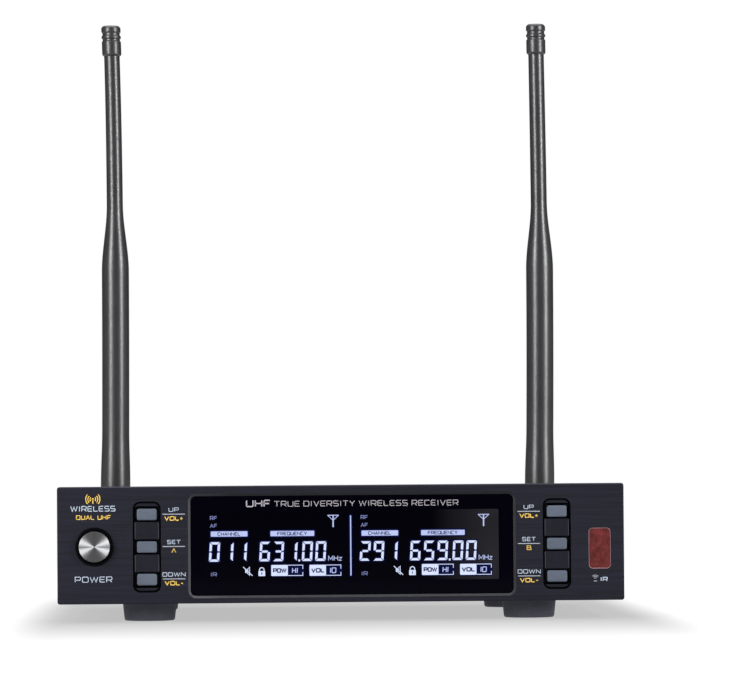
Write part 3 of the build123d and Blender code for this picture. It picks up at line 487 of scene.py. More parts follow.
def lathe(mesh_builder, profile, place, segments=96):
    """Turns a profile of (radius, position along the axis). place(a, b, along) gives each point."""
    rings = []
    for radius, along in profile:
        if radius < 1e-6:
            rings.append([mesh_builder.verts.new(place(0, 0, along))])
            continue
        ring = []
        for i in range(segments):
            angle = 2 * math.pi * i / segments
            point = place(radius * math.cos(angle), radius * math.sin(angle), along)
            ring.append(mesh_builder.verts.new(point))
        rings.append(ring)
    for ring_a, ring_b in zip(rings, rings[1:]):
        for i in range(segments):
            j = (i + 1) % segments
            if len(ring_a) == 1:
                mesh_builder.faces.new((ring_a[0], ring_b[j], ring_b[i]))
            elif len(ring_b) == 1:
                mesh_builder.faces.new((ring_a[i], ring_a[j], ring_b[0]))
            else:
                mesh_builder.faces.new((ring_a[i], ring_a[j], ring_b[j], ring_b[i]))


def soften(points, radius, steps=3):
    """Rounds every inner corner of an open or closed profile of (a, b) points."""
    rounded = [points[0]]
    for before, corner, after in zip(points, points[1:], points[2:]):
        corner_v, before_v, after_v = Vector(corner), Vector(before), Vector(after)
        room = min((before_v - corner_v).length, (after_v - corner_v).length) / 2
        cut = min(radius, room)
        start = corner_v + (before_v - corner_v).normalized() * cut
        end = corner_v + (after_v - corner_v).normalized() * cut
        for step in range(steps + 1):
            t = step / steps
            rounded.append(tuple(start * (1 - t) ** 2 + corner_v * 2 * t * (1 - t) + end * t * t))
    rounded.append(points[-1])
    return rounded


# ------------------------------------------------------------------ lettering
# Each glyph is one or more strokes in a box one unit high. "*" after a point rounds that corner.
GLYPHS = {
    "A": (1.15, "0,0 0.5,1 1,0", "0.19,0.34 0.81,0.34"),
    "^": (0.9, "0,0 0.5,1 1,0"),
    "B": (1.0, "0,0 0,1 .92,1 .92,.52 0,.52", ".92,.52 1,.48 1,0 0,0"),
    "C": (1.1, "1,1 0,1* 0,0* 1,0"),
    "D": (1.15, "0,0 0,1 1,1* 1,0* 0,0"),
    "E": (1.0, "1,1 0,1* 0,0* 1,0", "0,.5 .92,.5"),
    "F": (1.0, "1,1 0,1* 0,0", "0,.48 .88,.48"),
    "H": (1.1, "0,0 0,1", "1,0 1,1", "0,.5 1,.5"),
    "I": (0.3, ".5,0 .5,1"),
    "L": (0.95, "0,1 0,0* 1,0"),
    "M": (1.3, "0,0 0,1 .5,.25 1,1 1,0"),
    "N": (1.15, "0,0 0,1 1,0 1,1"),
    "O": (1.2, "0,.5 0,1* 1,1* 1,0* 0,0* 0,.5"),
    "P": (1.1, "0,0 0,1 1,1* 1,.4* 0,.4"),
    "Q": (1.2, "0,.5 0,1* 1,1* 1,0* 0,0* 0,.5", ".66,.26 1.04,-.06"),
    "R": (1.1, "0,0 0,1 1,1* 1,.42* 0,.42", ".5,.42 1,0"),
    "S": (1.05, "1,1 0,1* 0,.5* 1,.5* 1,0* 0,0"),
    "T": (1.1, "0,1 1,1", ".5,1 .5,0"),
    "U": (1.1, "0,1 0,0* 1,0* 1,1"),
    "V": (1.15, "0,1 .5,0 1,1"),
    "W": (1.6, "0,1 .25,0 .5,.9 .75,0 1,1"),
    "X": (1.1, "0,0 1,1", "0,1 1,0"),
    "Y": (1.1, "0,1 .5,.42 1,1", ".5,.42 .5,0"),
    "z": (0.8, "0,.66 1,.66 0,0 1,0"),
    "+": (0.75, "0,.48 1,.48", ".5,.12 .5,.84"),
    "-": (0.6, "0,.42 1,.42"),
    "0": (1.0, "0,.5 0,1* 1,1* 1,0* 0,0* 0,.5"),
    "1": (0.0, "0,0 0,1"),
}


def read_stroke(text):
    """Points of one stroke, with its marked corners rounded."""
    raw = [(*map(float, item.strip("*").split(",")), item.endswith("*")) for item in text.split()]
    points = []
    for i, (x, y, is_round) in enumerate(raw):
        if not is_round:
            points.append((x, y))
            continue
        corner, before, after = Vector((x, y)), Vector(raw[i - 1][:2]), Vector(raw[i + 1][:2])
        start = corner + (before - corner).normalized() * min(0.2, (before - corner).length / 2)
        end = corner + (after - corner).normalized() * min(0.2, (after - corner).length / 2)
        for step in range(4):
            t = step / 3
            points.append(tuple(start * (1 - t) ** 2 + corner * 2 * t * (1 - t) + end * t * t))
    return points


def ribbon(mesh_builder, points, width, lift, thickness, place=at):
    """A mitred stroke, raised off the face it is printed on. Points are (x, height) on that face."""
    left, right = [], []
    for i, point in enumerate(points):
        here = Vector(point)
        ahead = (Vector(points[i + 1]) - here).normalized() if i + 1 < len(points) else None
        behind = (here - Vector(points[i - 1])).normalized() if i else None
        if ahead is None:
            ahead = behind
        if behind is None:
            behind = ahead
        along = (ahead + behind).normalized()
        across = Vector((-along.y, along.x))
        stretch = 1 / max(0.5, across.dot(Vector((-ahead.y, ahead.x))))
        left.append(here + across * width / 2 * stretch)
        right.append(here - across * width / 2 * stretch)
    front = lift - thickness
    tops = [(mesh_builder.verts.new(place(*a, front)), mesh_builder.verts.new(place(*b, front)))
            for a, b in zip(left, right)]
    lows = [(mesh_builder.verts.new(place(*a, lift)), mesh_builder.verts.new(place(*b, lift)))
            for a, b in zip(left, right)]
    for i in range(len(points) - 1):
        mesh_builder.faces.new((tops[i][0], tops[i][1], tops[i + 1][1], tops[i + 1][0]))
        mesh_builder.faces.new((lows[i][0], lows[i + 1][0], lows[i + 1][1], lows[i][1]))
        for side in (0, 1):
            quad = (tops[i][side], tops[i + 1][side], lows[i + 1][side], lows[i][side])
            mesh_builder.faces.new(quad)
    for end in (0, -1):
        mesh_builder.faces.new((tops[end][0], lows[end][0], lows[end][1], tops[end][1]))


# Ink thicknesses in millimetres: labels, lit strokes, and the halos under them.
INK = 0.025
LIT = 0.02
HALO = 0.006
# Letter widths and gaps, as shares of the letters' height.
GLYPH_WIDTH = 0.86
LETTER_GAP = 0.34
WORD_GAP = 0.75


def write(mesh_builder, text, x, height, tall, width, weight, lift=0.0, thickness=INK, slant=0.0,
          place=at):
    """Writes a word into a box of the given height and width. weight is the pen's share of the height."""
    pen = tall * weight
    inner = tall - pen
    plan = []
    cursor = 0.0
    for character in text:
        if character == " ":
            cursor += WORD_GAP
            continue
        wide, *strokes = GLYPHS[character]
        plan.append((cursor, wide, strokes))
        cursor += wide * GLYPH_WIDTH + LETTER_GAP
    unit = (width - pen) / (cursor - LETTER_GAP)
    for start, wide, strokes in plan:
        for stroke in strokes:
            points = []
            for a, b in read_stroke(stroke):
                px = x + pen / 2 + (start + a * wide * GLYPH_WIDTH) * unit + slant * b * inner
                points.append((px, height + pen / 2 + b * inner))
            ribbon(mesh_builder, points, pen, lift, thickness, place)


def patch(mesh_builder, outline, lift, thickness):
    """A flat printed shape with the given outline of (x, height) points."""
    top = [mesh_builder.verts.new(at(*point, lift - thickness)) for point in outline]
    low = [mesh_builder.verts.new(at(*point, lift)) for point in outline]
    mesh_builder.faces.new(top)
    mesh_builder.faces.new(low[::-1])
    bridge(mesh_builder, top, low)


def printed_box(mesh_builder, low, high, radius, lift, thickness):
    centre = ((low[0] + high[0]) / 2, (low[1] + high[1]) / 2)
    outline = rounded_outline(high[0] - low[0], high[1] - low[1], radius, 3)
    patch(mesh_builder, [(centre[0] + x, centre[1] + y) for x, y in outline], lift, thickness)


# ------------------------------------------------------------------ fascia labels
def radio_mark(mesh_builder, x, height):
    """Generic radio mark: a mast with waves on both sides."""
    patch(mesh_builder, [(x - 0.2, height - 1.7), (x + 0.2, height - 1.7), (x + 0.2, height),
                         (x - 0.2, height)], 0.0, INK)
    for first, last in ((222, 138), (-42, 42)):
        for radius in (1.05, 1.85, 2.65):
            ribbon(mesh_builder, arc((x, height), radius, first, last), 0.32, 0.0, INK)
    patch(mesh_builder, arc((x, height), 0.45, 0, 337.5, 15), 0.0, INK)


def fascia_labels():
    white, line, amber = bmesh.new(), bmesh.new(), bmesh.new()
    write(white, "POWER", -99.5, 8.15, 2.2, 14.0, 0.13)
    write(white, "WIRELESS", -101.0, 34.6, 2.1, 16.8, 0.14)
    write(amber, "DUAL UHF", -98.9, 31.55, 1.7, 13.0, 0.17)
    radio_mark(amber, -92.6, 39.2)
    for centre, letter in ((-62.5, "^"), (70.3, "B")):
        rows = ((33.4, "UP", 3.8, "VOL+", 7.0), (21.35, "SET", 5.1, letter, 1.75),
                (9.25, "DOWN", 8.6, "VOL-", 7.0))
        for middle, above, above_width, below, below_width in rows:
            write(white, above, centre - above_width / 2, middle + 0.9, 1.55, above_width, 0.15)
            printed_box(line, (centre - 4.2, middle - 0.16), (centre + 4.2, middle + 0.16), 0.1, 0.0, INK)
            pen = 0.19 if len(below) > 1 else 0.14
            write(amber, below, centre - below_width / 2, middle - 2.4, 1.65, below_width, pen)
    # Infrared mark: a beacon with three waves, and its letters.
    beacon_x = 95.1
    for radius in (0.5, 1.05, 1.6):
        ribbon(line, arc((beacon_x, 7.75), radius, 45, 135), 0.2, 0.0, INK)
    printed_box(line, (beacon_x - 0.6, 7.0), (beacon_x + 0.6, 7.3), 0.1, 0.0, INK)
    write(white, "IR", 96.9, 7.0, 1.65, 2.8, 0.2)
    make_object("fascia_labels_white", white, "white_ink", "case")
    make_object("fascia_labels_line", line, "line_ink", "case")
    make_object("fascia_labels_amber", amber, "amber_ink", "case")


fascia_labels()


def rear_labels():
    """Plain names under or over the sockets, read from behind."""
    white = bmesh.new()
    for text, x, height, width in (
            ("OUTPUT A", 48.0, 3.0, 15.0), ("OUTPUT B", 13.0, 3.0, 15.0), ("MIX OUT", -20.0, 33.0, 12.0),
            ("DC IN", -54.0, 31.0, 8.6), ("ANT B", -88.5, 33.0, 9.0), ("ANT A", 88.5, 33.0, 9.0)):
        write(white, text, x - width / 2, height, 2.0, width, 0.14, place=behind)
    make_object("rear_labels_white", white, "white_ink", "case")


rear_labels()


# ------------------------------------------------------------------ display
def display():
    centre, size, depths = local_box("display_window")
    window = bmesh.new()
    stages = [(0, depths[1])] + edge_round(0.35, depths[0])
    slab(window, centre, size, 2.0, stages)
    piece = make_object("display_window_acrylic", window, "window", "case")
    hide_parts("display_window")

    # The opening's machined chamfer.
    chamfer = bmesh.new()
    bevel = depths[0]
    slab(chamfer, centre, (size[0] + 2 * bevel, size[1] + 2 * bevel), 2.0 + bevel,
         [(0.02, -0.015), (bevel, bevel - 0.03), (bevel, bevel + 0.05)], closed=False)
    make_object("window_chamfer", chamfer, "chamfer", "case")

    face = depths[0]
    header = bmesh.new()
    write(header, "UHF", -35.5, 35.75, 2.75, 9.2, 0.17, lift=face)
    for word, low, high in (("TRUE", -25.0, -15.4), ("DIVERSITY", -14.0, 5.3),
                            ("WIRELESS", 6.7, 25.0), ("RECEIVER", 26.5, 44.0)):
        write(header, word, low, 35.85, 2.15, high - low, 0.125, lift=face)
    make_object("display_header", header, "grey_ink", "case")

    lcd_centre, lcd_size, _ = local_box("lcd_glass")
    panel = bmesh.new()
    slab(panel, lcd_centre, (lcd_size[0] - 2.0, lcd_size[1] - 2.0), 0.6, [(0, face), (0, face - 0.012)])
    make_object("lcd_panel", panel, "lcd", "case")
    base = face - 0.012
    layers = {key: bmesh.new() for key in ("glow", "lit", "lit_soft", "lit_dim", "lcd_dark")}
    for origin, low_shift in ((0.0, 0.0), (56.35, -0.1)):
        channel_face(layers, origin, low_shift, base)
    printed_box(layers["lit_soft"], (3.37, 9.9), (3.80, 32.4), 0.1, base, LIT)
    printed_box(layers["glow"], (2.9, 9.4), (4.25, 32.9), 0.3, base, HALO)
    for key, mesh_builder in layers.items():
        make_object(f"lcd_{key}", mesh_builder, key, "case")


SEGMENTS = {
    "0": "abcdef", "1": "bc", "2": "abged", "3": "abgcd", "5": "afgcd", "6": "afgecd", "9": "abcdfg",
}
DIGIT_W = 3.85
DIGIT_H = 7.3
DIGIT_PEN = 0.88
DIGIT_SLANT = 0.06


def segment_shapes():
    """The seven segments as mitred bars of a digit whose lower left corner is the origin."""
    w, h, p, gap = DIGIT_W, DIGIT_H, DIGIT_PEN, 0.19
    half = h / 2
    shapes = {
        "a": [(gap, h), (w - gap, h), (w - p - gap / 2, h - p), (p + gap / 2, h - p)],
        "d": [(gap, 0), (w - gap, 0), (w - p - gap / 2, p), (p + gap / 2, p)],
        "g": [(p * 0.6 + gap, half), (p + gap, half + p * 0.45), (w - p - gap, half + p * 0.45),
              (w - p * 0.6 - gap, half), (w - p - gap, half - p * 0.45), (p + gap, half - p * 0.45)],
        "b": [(w, h - gap), (w, half + gap * 1.2), (w - p * 0.5, half + gap * 1.2),
              (w - p, half + p * 0.5), (w - p, h - p - gap)],
        "f": [(0, h - gap), (0, half + gap * 1.2), (p * 0.5, half + gap * 1.2),
              (p, half + p * 0.5), (p, h - p - gap)],
    }
    shapes["c"] = [(x, h - y) for x, y in shapes["b"]]
    shapes["e"] = [(x, h - y) for x, y in shapes["f"]]
    return shapes


def digit(layers, character, right_top, low, base):
    left = right_top - DIGIT_W - DIGIT_SLANT * DIGIT_H
    shapes = segment_shapes()
    for letter in SEGMENTS[character]:
        outline = [(left + x + DIGIT_SLANT * y, low + y) for x, y in shapes[letter]]
        patch(layers["lit"], outline, base, LIT)
        middle = sum((Vector(p) for p in outline), Vector((0, 0))) / len(outline)
        halo = []
        for point in outline:
            away = Vector(point) - middle
            halo.append(tuple(Vector(point) + Vector((math.copysign(0.45, away.x),
                                                      math.copysign(0.45, away.y)))))
        patch(layers["glow"], halo, base, HALO)


def outline_box(layers, low, high, split, inner_text, name, base):
    """A labelled field: a filled left part with dark letters, and an outlined right part."""
    pen = 0.24
    printed_box(layers["glow"], (low[0] - 0.4, low[1] - 0.4), (high[0] + 0.4, high[1] + 0.4), 0.5,
                base, HALO)
    printed_box(layers["lit"], low, (split, high[1]), 0.3, base, LIT)
    right = high[0] - pen / 2
    for edge, corner in ((high[1] - pen / 2, high[1] - 1.55), (low[1] + pen / 2, low[1] + 1.35)):
        ribbon(layers["lit"], [(split, edge), (right, edge), (right, corner)], pen, base, LIT)
    write(layers["lcd_dark"], name, low[0] + 0.6, low[1] + 1.15, 1.75, split - low[0] - 1.1, 0.26,
          lift=base - LIT, thickness=0.01)
    wide = 2.3
    middle = (split + high[0]) / 2
    write(layers["lit_soft"], inner_text, middle - wide / 2 - 0.2, low[1] + 0.95, 2.1, wide, 0.15,
          lift=base, thickness=LIT, slant=0.06)


def channel_face(layers, x, dh, base):
    """One channel's half of the display. x and dh shift the left half's layout."""
    for text, height in (("RF", 31.05), ("AF", 28.15)):
        write(layers["lit_dim"], text, x - 49.0, height + dh, 1.5, 2.7, 0.16, lift=base, thickness=LIT)
    write(layers["lit_dim"], "IR", x - 48.9, 10.0 + dh, 1.5, 2.4, 0.15, lift=base, thickness=LIT)
    for text, low, high, text_low, text_high in (
            ("CHANNEL", -48.85, -34.85, -46.2, -37.6), ("FREQUENCY", -26.55, -9.9, -23.9, -12.7)):
        printed_box(layers["glow"], (x + low - 0.4, 24.35 + dh), (x + high + 0.4, 27.3 + dh), 0.4,
                    base, HALO)
        printed_box(layers["lit_soft"], (x + low + 0.15, 24.85 + dh), (x + high - 0.15, 26.8 + dh), 0.25,
                    base, LIT)
        write(layers["lcd_dark"], text, x + text_low, 25.1 + dh, 1.4, text_high - text_low, 0.2,
              lift=base - LIT, thickness=0.01)
    numbers = ("011", "63100") if x < 1 else ("291", "65900")
    for text, edges in zip(numbers, ((-45.1, -40.05, -35.0), (-26.3, -21.2, -16.15, -10.4, -5.4))):
        for character, edge in zip(text, edges):
            digit(layers, character, x + edge - 0.1, 15.5 + dh, base)
    printed_box(layers["lit"], (x - 16.1, 15.35 + dh), (x - 15.4, 16.1 + dh), 0.15, base, LIT)
    write(layers["lit_soft"], "MHz", x - 4.9, 15.5 + dh, 1.95, 5.2, 0.14, lift=base, thickness=LIT)
    outline_box(layers, (x - 26.2, 10.0 + dh), (x - 14.3, 14.1 + dh), x - 20.0, "HI", "POW", base)
    outline_box(layers, (x - 11.9, 9.95 + dh), (x - 0.05, 14.05 + dh), x - 5.75, "10", "VOL", base)
    antenna_mark(layers["lit_soft"], x - 2.95, 28.1 + dh, base)
    mute_mark(layers["lit"], x - 35.0, 11.85 + dh, base)
    lock_mark(layers, x - 29.75, 10.0 + dh, base)


def antenna_mark(mesh_builder, x, low, base):
    ribbon(mesh_builder, [(x - 2.1, low + 4.4), (x + 2.1, low + 4.4)], 0.3, base, LIT)
    ribbon(mesh_builder, [(x - 1.9, low + 4.3), (x, low + 2.5), (x + 1.9, low + 4.3)], 0.26, base, LIT)
    ribbon(mesh_builder, [(x, low + 4.4), (x, low)], 0.5, base, LIT)


def mute_mark(mesh_builder, x, middle, base):
    """A loudspeaker, drawn as a small box and an open cone, with a slash through it."""
    printed_box(mesh_builder, (x - 0.95, middle - 0.6), (x - 0.4, middle + 0.6), 0.08, base, LIT)
    cone = [(x - 0.4, middle - 0.45), (x + 0.7, middle - 1.5), (x + 0.7, middle + 1.5),
            (x - 0.4, middle + 0.45)]
    ribbon(mesh_builder, cone, 0.27, base, LIT)
    ribbon(mesh_builder, [(x - 1.7, middle + 1.6), (x + 1.75, middle - 1.7)], 0.32, base, 0.03)
    for reach in (-0.55, 0.55):
        ribbon(mesh_builder, [(x - 0.3, middle + reach * 0.45), (x + 0.7, middle + reach)], 0.2, base, LIT)


def lock_mark(layers, x, low, base):
    printed_box(layers["lit"], (x - 1.25, low), (x + 1.25, low + 1.9), 0.15, base, LIT)
    bow = arc((x, low + 2.3), 0.85, 180, 0)
    shackle = [(x - 0.85, low + 1.8), *bow, (x + 0.85, low + 1.8)]
    ribbon(layers["lit"], shackle, 0.36, base, LIT)
    printed_box(layers["lcd_dark"], (x - 0.2, low + 0.55), (x + 0.2, low + 1.35), 0.1, base - LIT, 0.01)


display()


# ------------------------------------------------------------------ keys, power button, infrared window
KEY_SIZE = (7.4, 4.3)
KEY_PITCH = 12.15
KEY_GAP = 0.6
INSERT_SIZE = (9.3, 32.7)
INSERT_RADIUS = 2.2
INSERT_FACE = 0.45
SLOT_FLOOR = 2.4


def end_block_outline(inset, inner, sign):
    """The insert's rounded end beyond the outer key. inner is the height where it starts."""
    half, outer = INSERT_SIZE[0] / 2, INSERT_SIZE[1] / 2
    centre_x, centre_y = half - INSERT_RADIUS, outer - INSERT_RADIUS
    start = math.asin(max(0.0, (inner - centre_y) / INSERT_RADIUS)) + 0.05
    radius = INSERT_RADIUS - inset
    points = [(centre_x + INSERT_RADIUS * math.cos(start) - inset, inner + inset)]
    for side, order in ((1, range(9)), (-1, range(8, -1, -1))):
        for step in order:
            angle = start + (math.pi / 2 - start) * step / 8
            x = side * (centre_x + radius * math.cos(angle))
            points.append((x, centre_y + radius * math.sin(angle)))
    points.append((-points[0][0], points[0][1]))
    return [(x, sign * y) for x, y in points]


def collar(mesh_builder, centre, outer, inner, front, back):
    """A rectangular tube with rounded corners. outer and inner are (width, tall, radius)."""
    around, bore = rounded_outline(*outer), rounded_outline(*inner)
    rings = [add_ring(mesh_builder, outline, centre, depth)
             for outline, depth in ((around, back), (around, front), (bore, front), (bore, back))]
    for ring_a, ring_b in zip(rings, rings[1:] + rings[:1]):
        bridge(mesh_builder, ring_a, ring_b)


def slot_inserts():
    """Black slot linings with charcoal blocks between the keys."""
    half_key = KEY_SIZE[1] / 2 + KEY_GAP
    for channel in "ab":
        node = f"button_bezel_{channel}"
        centre, flange_size, depths = local_box(node)
        lining = bmesh.new()
        inside = (*INSERT_SIZE, INSERT_RADIUS)
        collar(lining, centre, (10.4, 33.9, 2.7), inside, SLOT_FLOOR, depths[1])
        collar(lining, centre, (*flange_size, 2.75), inside, depths[1] - 1.15, depths[1])
        piece = make_object(f"slot_lining_{channel}", lining, "slot_black", "case")
        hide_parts(node)
        blocks = bmesh.new()
        glints = bmesh.new()
        stages = [(0, depths[1])] + edge_round(0.28, INSERT_FACE)
        tall = KEY_PITCH - 2 * half_key
        for sign in (-1, 1):
            middle = (centre[0], centre[1] + sign * KEY_PITCH / 2)
            slab(blocks, middle, (INSERT_SIZE[0], tall), 0.32, stages)
            # Painted highlight: a thin light strip along each side of the block, where its edge catches the
            # light.
            for side in (-1, 1):
                x = middle[0] + side * (INSERT_SIZE[0] / 2 - 0.28)
                printed_box(glints, (x - 0.1, middle[1] - tall / 2 + 0.3),
                            (x + 0.1, middle[1] + tall / 2 - 0.3), 0.08, INSERT_FACE, 0.02)

            def outline_of(inset):
                return end_block_outline(inset, KEY_PITCH + half_key, sign)

            stack(blocks, outline_of, centre, stages)
        make_object(f"slot_blocks_{channel}", blocks, "bezel", "case")
        make_object(f"slot_glints_{channel}", glints, "glint", "case")


slot_inserts()


def keys():
    for channel in "ab":
        for role in ("up", "set", "down"):
            node = f"{role}_button_{channel}"
            centre, flange_size, depths = local_box(node)
            mesh_builder = bmesh.new()
            face = depths[0]
            stages = [(0, 6.4)] + edge_round(0.42, face + 0.05)
            stages += [(0.9, face + 0.012), (1.5, face)]
            slab(mesh_builder, centre, KEY_SIZE, 0.75, stages)
            slab(mesh_builder, centre, flange_size, 1.0, [(0, depths[1] - 0.6), (0, 6.35)])
            piece = make_object(f"{role}_key_{channel}", mesh_builder, "key", node)
            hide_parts(node)


keys()


def power_button():
    centre, size, depths = local_box("power_button_cap")

    def place(a, b, along):
        return at(centre[0] + a, centre[1] + b, along)

    radius = size[0] / 2
    face = depths[0]
    cap = bmesh.new()
    dish, rim = 0.1, 0.35
    profile = [(0.0, face + dish)]
    profile += [((radius - rim) * step / 20, face + dish * (1 - (step / 20) ** 2)) for step in range(1, 21)]
    profile += [(radius - 0.12, face + 0.07), (radius, face + 0.22), (radius, depths[1]),
                (0.0, depths[1])]
    lathe(cap, profile, place, 128)
    piece = make_object("power_cap_spun", cap, "spun", "power_button")
    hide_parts("power_button_cap")

    centre, size, depths = local_box("power_button_ring")
    outer = size[0] / 2
    ring = bmesh.new()
    bore = 5.85
    corners = [(bore, depths[1]), (bore, depths[0] + 0.25), (bore + 0.35, depths[0]),
               (outer - 0.2, depths[0]), (outer, 0.0), (6.9, 0.0), (6.9, depths[1]), (bore, depths[1])]
    lathe(ring, soften(corners, 0.16), place, 128)
    piece = make_object("power_ring_black", ring, "ring", "case")
    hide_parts("power_button_ring")


power_button()


def infrared():
    centre, size, depths = local_box("ir_window")
    pane = bmesh.new()
    inner = (size[0] - 0.5, size[1] - 0.5)
    slab(pane, centre, inner, 1.3, [(0, depths[1])] + edge_round(0.15, depths[0] - 0.05))
    piece = make_object("infrared_pane", pane, "infrared", "case")
    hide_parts("ir_window")
    # A thin light-pink rim round the pane: a painted highlight where its edge catches the light.
    edge = bmesh.new()
    outer = slab(edge, centre, size, 1.5, [(0, depths[1]), (0, depths[0]), (0.06, depths[0] - 0.06),
                                          (0.2, depths[0] - 0.06), (0.24, depths[0]),
                                          (0.24, depths[1])], closed=False)
    bridge(edge, outer[-1], outer[0])
    make_object("infrared_rim_painted_highlight", edge, "infrared_rim_painted_highlight", "case")


infrared()


# ------------------------------------------------------------------ antennas and feet
WHIP_BOW = {"left": (0.58, -0.75), "right": (0.95, 0.1)}


def whip_shift(side, z, low, high):
    """Sideways set of the rubber whip: a faint bow at mid height and a lean at the tip."""
    t = max(0.0, min(1.0, (z - low) / (high - low)))
    bow, lean = WHIP_BOW[side]
    return (bow * math.sin(math.pi * t) + lean * t ** 8) * MM


def antennas():
    for side in ("left", "right"):
        low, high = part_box(f"whip_{side}")
        cap_low, cap_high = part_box(f"tip_cap_{side}")
        axis = Vector(((low.x + high.x) / 2, (low.y + high.y) / 2, 0))
        pivot_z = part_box(f"hinge_pin_{side}")[0].z + 1.5 * MM
        foot = pivot_z + 7.3 * MM

        def place(a, b, along):
            shift = whip_shift(side, along, foot, cap_high.z)
            return Vector((axis.x + a * MM + shift, axis.y + b * MM, along))

        base_r, thick_r, thin_r = 6.15, 5.65, 3.25
        profile = [(0.0, foot), (base_r - 0.5, foot), (base_r - 0.15, foot + 0.15 * MM),
                   (base_r, foot + 0.5 * MM)]
        flare_low, flare_high = 139.4 * MM, 167.5 * MM
        for step in range(9):
            t = step / 8
            z = 51 * MM + t * 22 * MM
            profile.append((base_r + (thick_r - base_r) * (t * t * (3 - 2 * t)), z))
        for step in range(1, 12):
            profile.append((thick_r, 73 * MM + (flare_low - 73 * MM) * step / 11))
        for step in range(1, 25):
            t = step / 24
            profile.append((thick_r + (thin_r + 0.12 - thick_r) * (t * t * (3 - 2 * t)),
                            flare_low + (flare_high - flare_low) * t))
        for step in range(1, 14):
            t = step / 13
            profile.append((thin_r + 0.12 * (1 - t), flare_high + (high.z - flare_high) * t))
        profile.append((0.0, high.z))
        whip = bmesh.new()
        lathe(whip, profile, place, 64)
        tongue(whip, axis, pivot_z, foot)
        piece = make_object(f"whip_rubber_{side}", whip, "whip", f"antenna_whip_{side}")
        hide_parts(f"whip_{side}")

        cap = bmesh.new()
        z = cap_low.z
        tall = (cap_high.z - cap_low.z) / MM
        corners = [(0.0, 0.0), (3.4, 0.0), (4.0, 0.7), (4.0, 6.2), (3.62, 6.3), (3.62, 7.3),
                   (4.02, 7.4), (4.02, 8.5), (3.62, 8.6), (3.62, 9.9), (4.02, 10.0), (4.02, 11.9),
                   (3.2, tall - 0.05), (0.0, tall)]
        profile = [(r, z + h * MM) for r, h in soften(corners, 0.35, 4)]
        lathe(cap, profile, place, 64)
        piece = make_object(f"tip_cap_rubber_{side}", cap, "cap", f"antenna_whip_{side}")
        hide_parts(f"tip_cap_{side}")


def tongue(mesh_builder, axis, pivot_z, foot):
    """The flat tongue on the hinge pin, with a round lower end and the pin's hole through it."""
    half, radius, hole = 2.5 * MM, 5.6 * MM, 1.56 * MM
    steps = 32
    outer, inner = [], []
    top = foot + 0.3 * MM - pivot_z
    for i in range(steps):
        angle = 2 * math.pi * i / steps
        y, z = radius * math.cos(angle), radius * math.sin(angle)
        if z > 0:
            y, z = math.copysign(min(abs(y), 5.0 * MM), y), z / radius * top
        outer.append((y, z))
        inner.append((hole * math.cos(angle), hole * math.sin(angle)))
    faces = {}
    for x in (-half, half):
        faces[x] = ([mesh_builder.verts.new((axis.x + x, axis.y + y, pivot_z + z)) for y, z in outer],
                    [mesh_builder.verts.new((axis.x + x, axis.y + y, pivot_z + z)) for y, z in inner])
        bridge(mesh_builder, *faces[x])
    bridge(mesh_builder, faces[-half][0], faces[half][0])
    bridge(mesh_builder, faces[-half][1], faces[half][1])


antennas()


def feet():
    for name in ("front_left", "front_right", "rear_left", "rear_right"):
        low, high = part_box(f"foot_{name}")
        cx, cy = (low.x + high.x) / 2, (low.y + high.y) / 2

        def place(a, b, along):
            return Vector((cx + a * MM, cy + b * MM, along * MM))

        tall = high.z / MM
        corners = [(3.6, 3.0), (3.6, 0.5), (4.0, 0.0), (9.1, 0.0), (9.55, 0.5), (10.25, tall - 0.5),
                   (10.25, tall), (1.6, tall), (1.6, 3.0), (3.6, 3.0)]
        foot = bmesh.new()
        lathe(foot, soften(corners, 0.3, 4), place, 96)
        piece = make_object(f"foot_rubber_{name}", foot, "foot", "case")
        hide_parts(f"foot_{name}")


feet()


# ------------------------------------------------------------------ stage, light and camera
FLOOR_HALF = 0.7
# The soft shadow fades from full to none between the two places on each axis.
SHADOW_EDGES = (("X", 0.108, 0.136), ("X", -0.103, -0.131), ("Y", 0.10, 0.32), ("Y", -0.06, -0.36))
SHADOW_FLOOR = 0.50
SIDE_LIGHT = 0.35
ABOVE_LIGHT = 0.25
FRONT_LIGHT = 0.015
BACK_LIGHT = 0.08


def stage():
    """A small pale floor, glowing plain white but for a soft shadow under and before the object."""
    mesh_builder = bmesh.new()
    corners = [(x * FLOOR_HALF, y * FLOOR_HALF, 0) for x, y in ((-1, -1), (1, -1), (1, 1), (-1, 1))]
    mesh_builder.faces.new([mesh_builder.verts.new(corner) for corner in corners])
    mesh = bpy.data.meshes.new("floor")
    mesh_builder.to_mesh(mesh)
    mesh_builder.free()
    floor = bpy.data.objects.new("floor", mesh)
    bpy.context.scene.collection.objects.link(floor)
    surface = Surface("pale_floor", (0.06, 0.06, 0.06), 0.9)
    surface.set("Specular IOR Level", 0.0)
    surface.set("Emission Color", (1, 1, 1, 1))
    tree = surface.tree
    place = components(tree, surface.place)
    shadow = 1.0
    for axis, low, high in SHADOW_EDGES:
        edge = remap(tree, place[axis], low, high, 1.0, 0.0, "SMOOTHSTEP")
        shadow = calculate(tree, "MULTIPLY", shadow, edge)
    surface.links.new(surface.spread(shadow, 0.0, 1.0, 1.0, SHADOW_FLOOR),
                      surface.shader.inputs["Emission Strength"])
    mesh.materials.append(surface.material)


stage()


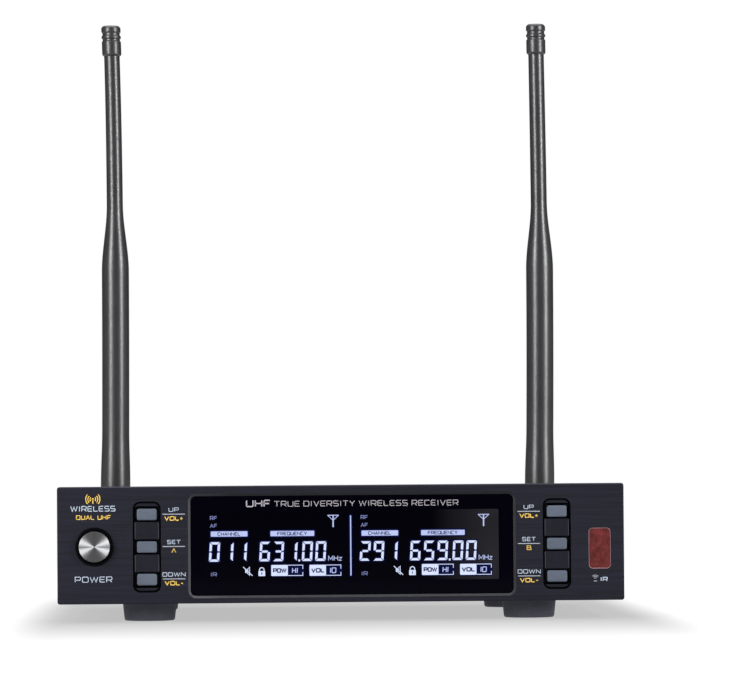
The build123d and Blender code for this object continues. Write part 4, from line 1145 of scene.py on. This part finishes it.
def world():
    """White to the camera, and to everything else a dim studio, lighter above and at both sides."""
    scene_world = bpy.data.worlds.new("studio")
    bpy.context.scene.world = scene_world
    scene_world.use_nodes = True
    tree = scene_world.node_tree
    nodes, links = tree.nodes, tree.links
    nodes.clear()
    x, y, z = components(tree, nodes.new("ShaderNodeTexCoord").outputs["Generated"])
    side = remap(tree, calculate(tree, "ABSOLUTE", x), 0.90, 0.99, 0.0, SIDE_LIGHT)
    above = remap(tree, z, 0.15, 0.9, 0.0, ABOVE_LIGHT)
    depth = remap(tree, y, -0.4, 0.9, FRONT_LIGHT, BACK_LIGHT)
    strength = calculate(tree, "ADD", calculate(tree, "ADD", side, above), depth)
    output = nodes.new("ShaderNodeOutputWorld")
    mix = nodes.new("ShaderNodeMixShader")
    seen = nodes.new("ShaderNodeBackground")
    room = nodes.new("ShaderNodeBackground")
    room.inputs["Color"].default_value = (0.96, 0.97, 1.0, 1)
    links.new(strength, room.inputs["Strength"])
    links.new(nodes.new("ShaderNodeLightPath").outputs["Is Camera Ray"], mix.inputs["Fac"])
    links.new(room.outputs[0], mix.inputs[1])
    links.new(seen.outputs[0], mix.inputs[2])
    seen.inputs["Color"].default_value = (1, 1, 1, 1)
    links.new(mix.outputs[0], output.inputs["Surface"])


world()


def softbox(name, place, target, size, power, colour=(1, 1, 1)):
    data = bpy.data.lights.new(name, "AREA")
    data.shape = "RECTANGLE"
    data.size, data.size_y = size
    data.energy = power
    data.color = colour
    lamp = bpy.data.objects.new(name, data)
    bpy.context.scene.collection.objects.link(lamp)
    lamp.location = place
    lamp.rotation_euler = (Vector(target) - Vector(place)).to_track_quat("-Z", "Y").to_euler()
    return lamp


softbox("softbox_left", (-0.90, -0.85, 0.41), (0, 0, 0.12), (0.42, 0.62), 20)
softbox("softbox_right", (1.22, -0.85, 0.41), (0, 0, 0.12), (0.44, 0.62), 26)
softbox("overhead", (0.0, 0.1, 1.5), (0, 0, 0), (1.8, 1.6), 32)


def camera():
    """Long lens a little left of the middle, level with the top of the case, with the photograph's tilt."""
    data = bpy.data.cameras.new("camera")
    data.lens = 216.3
    data.sensor_width = 36.0
    data.clip_end = 30
    view = bpy.data.objects.new("camera", data)
    bpy.context.scene.collection.objects.link(view)
    pan, tilt, roll = (math.radians(angle) for angle in (-2.029, 1.503, 0.4375))
    turn = Matrix.Rotation(pan, 4, "Z") @ Matrix.Rotation(tilt, 4, "X") @ Matrix.Rotation(roll, 4, "Y")
    upright = Matrix.Rotation(math.pi / 2, 4, "X")
    view.matrix_world = Matrix.Translation((-0.04725, -1.7687, 0.05925)) @ turn @ upright
    bpy.context.scene.camera = view


camera()
bpy.context.scene.view_settings.view_transform = "Standard"
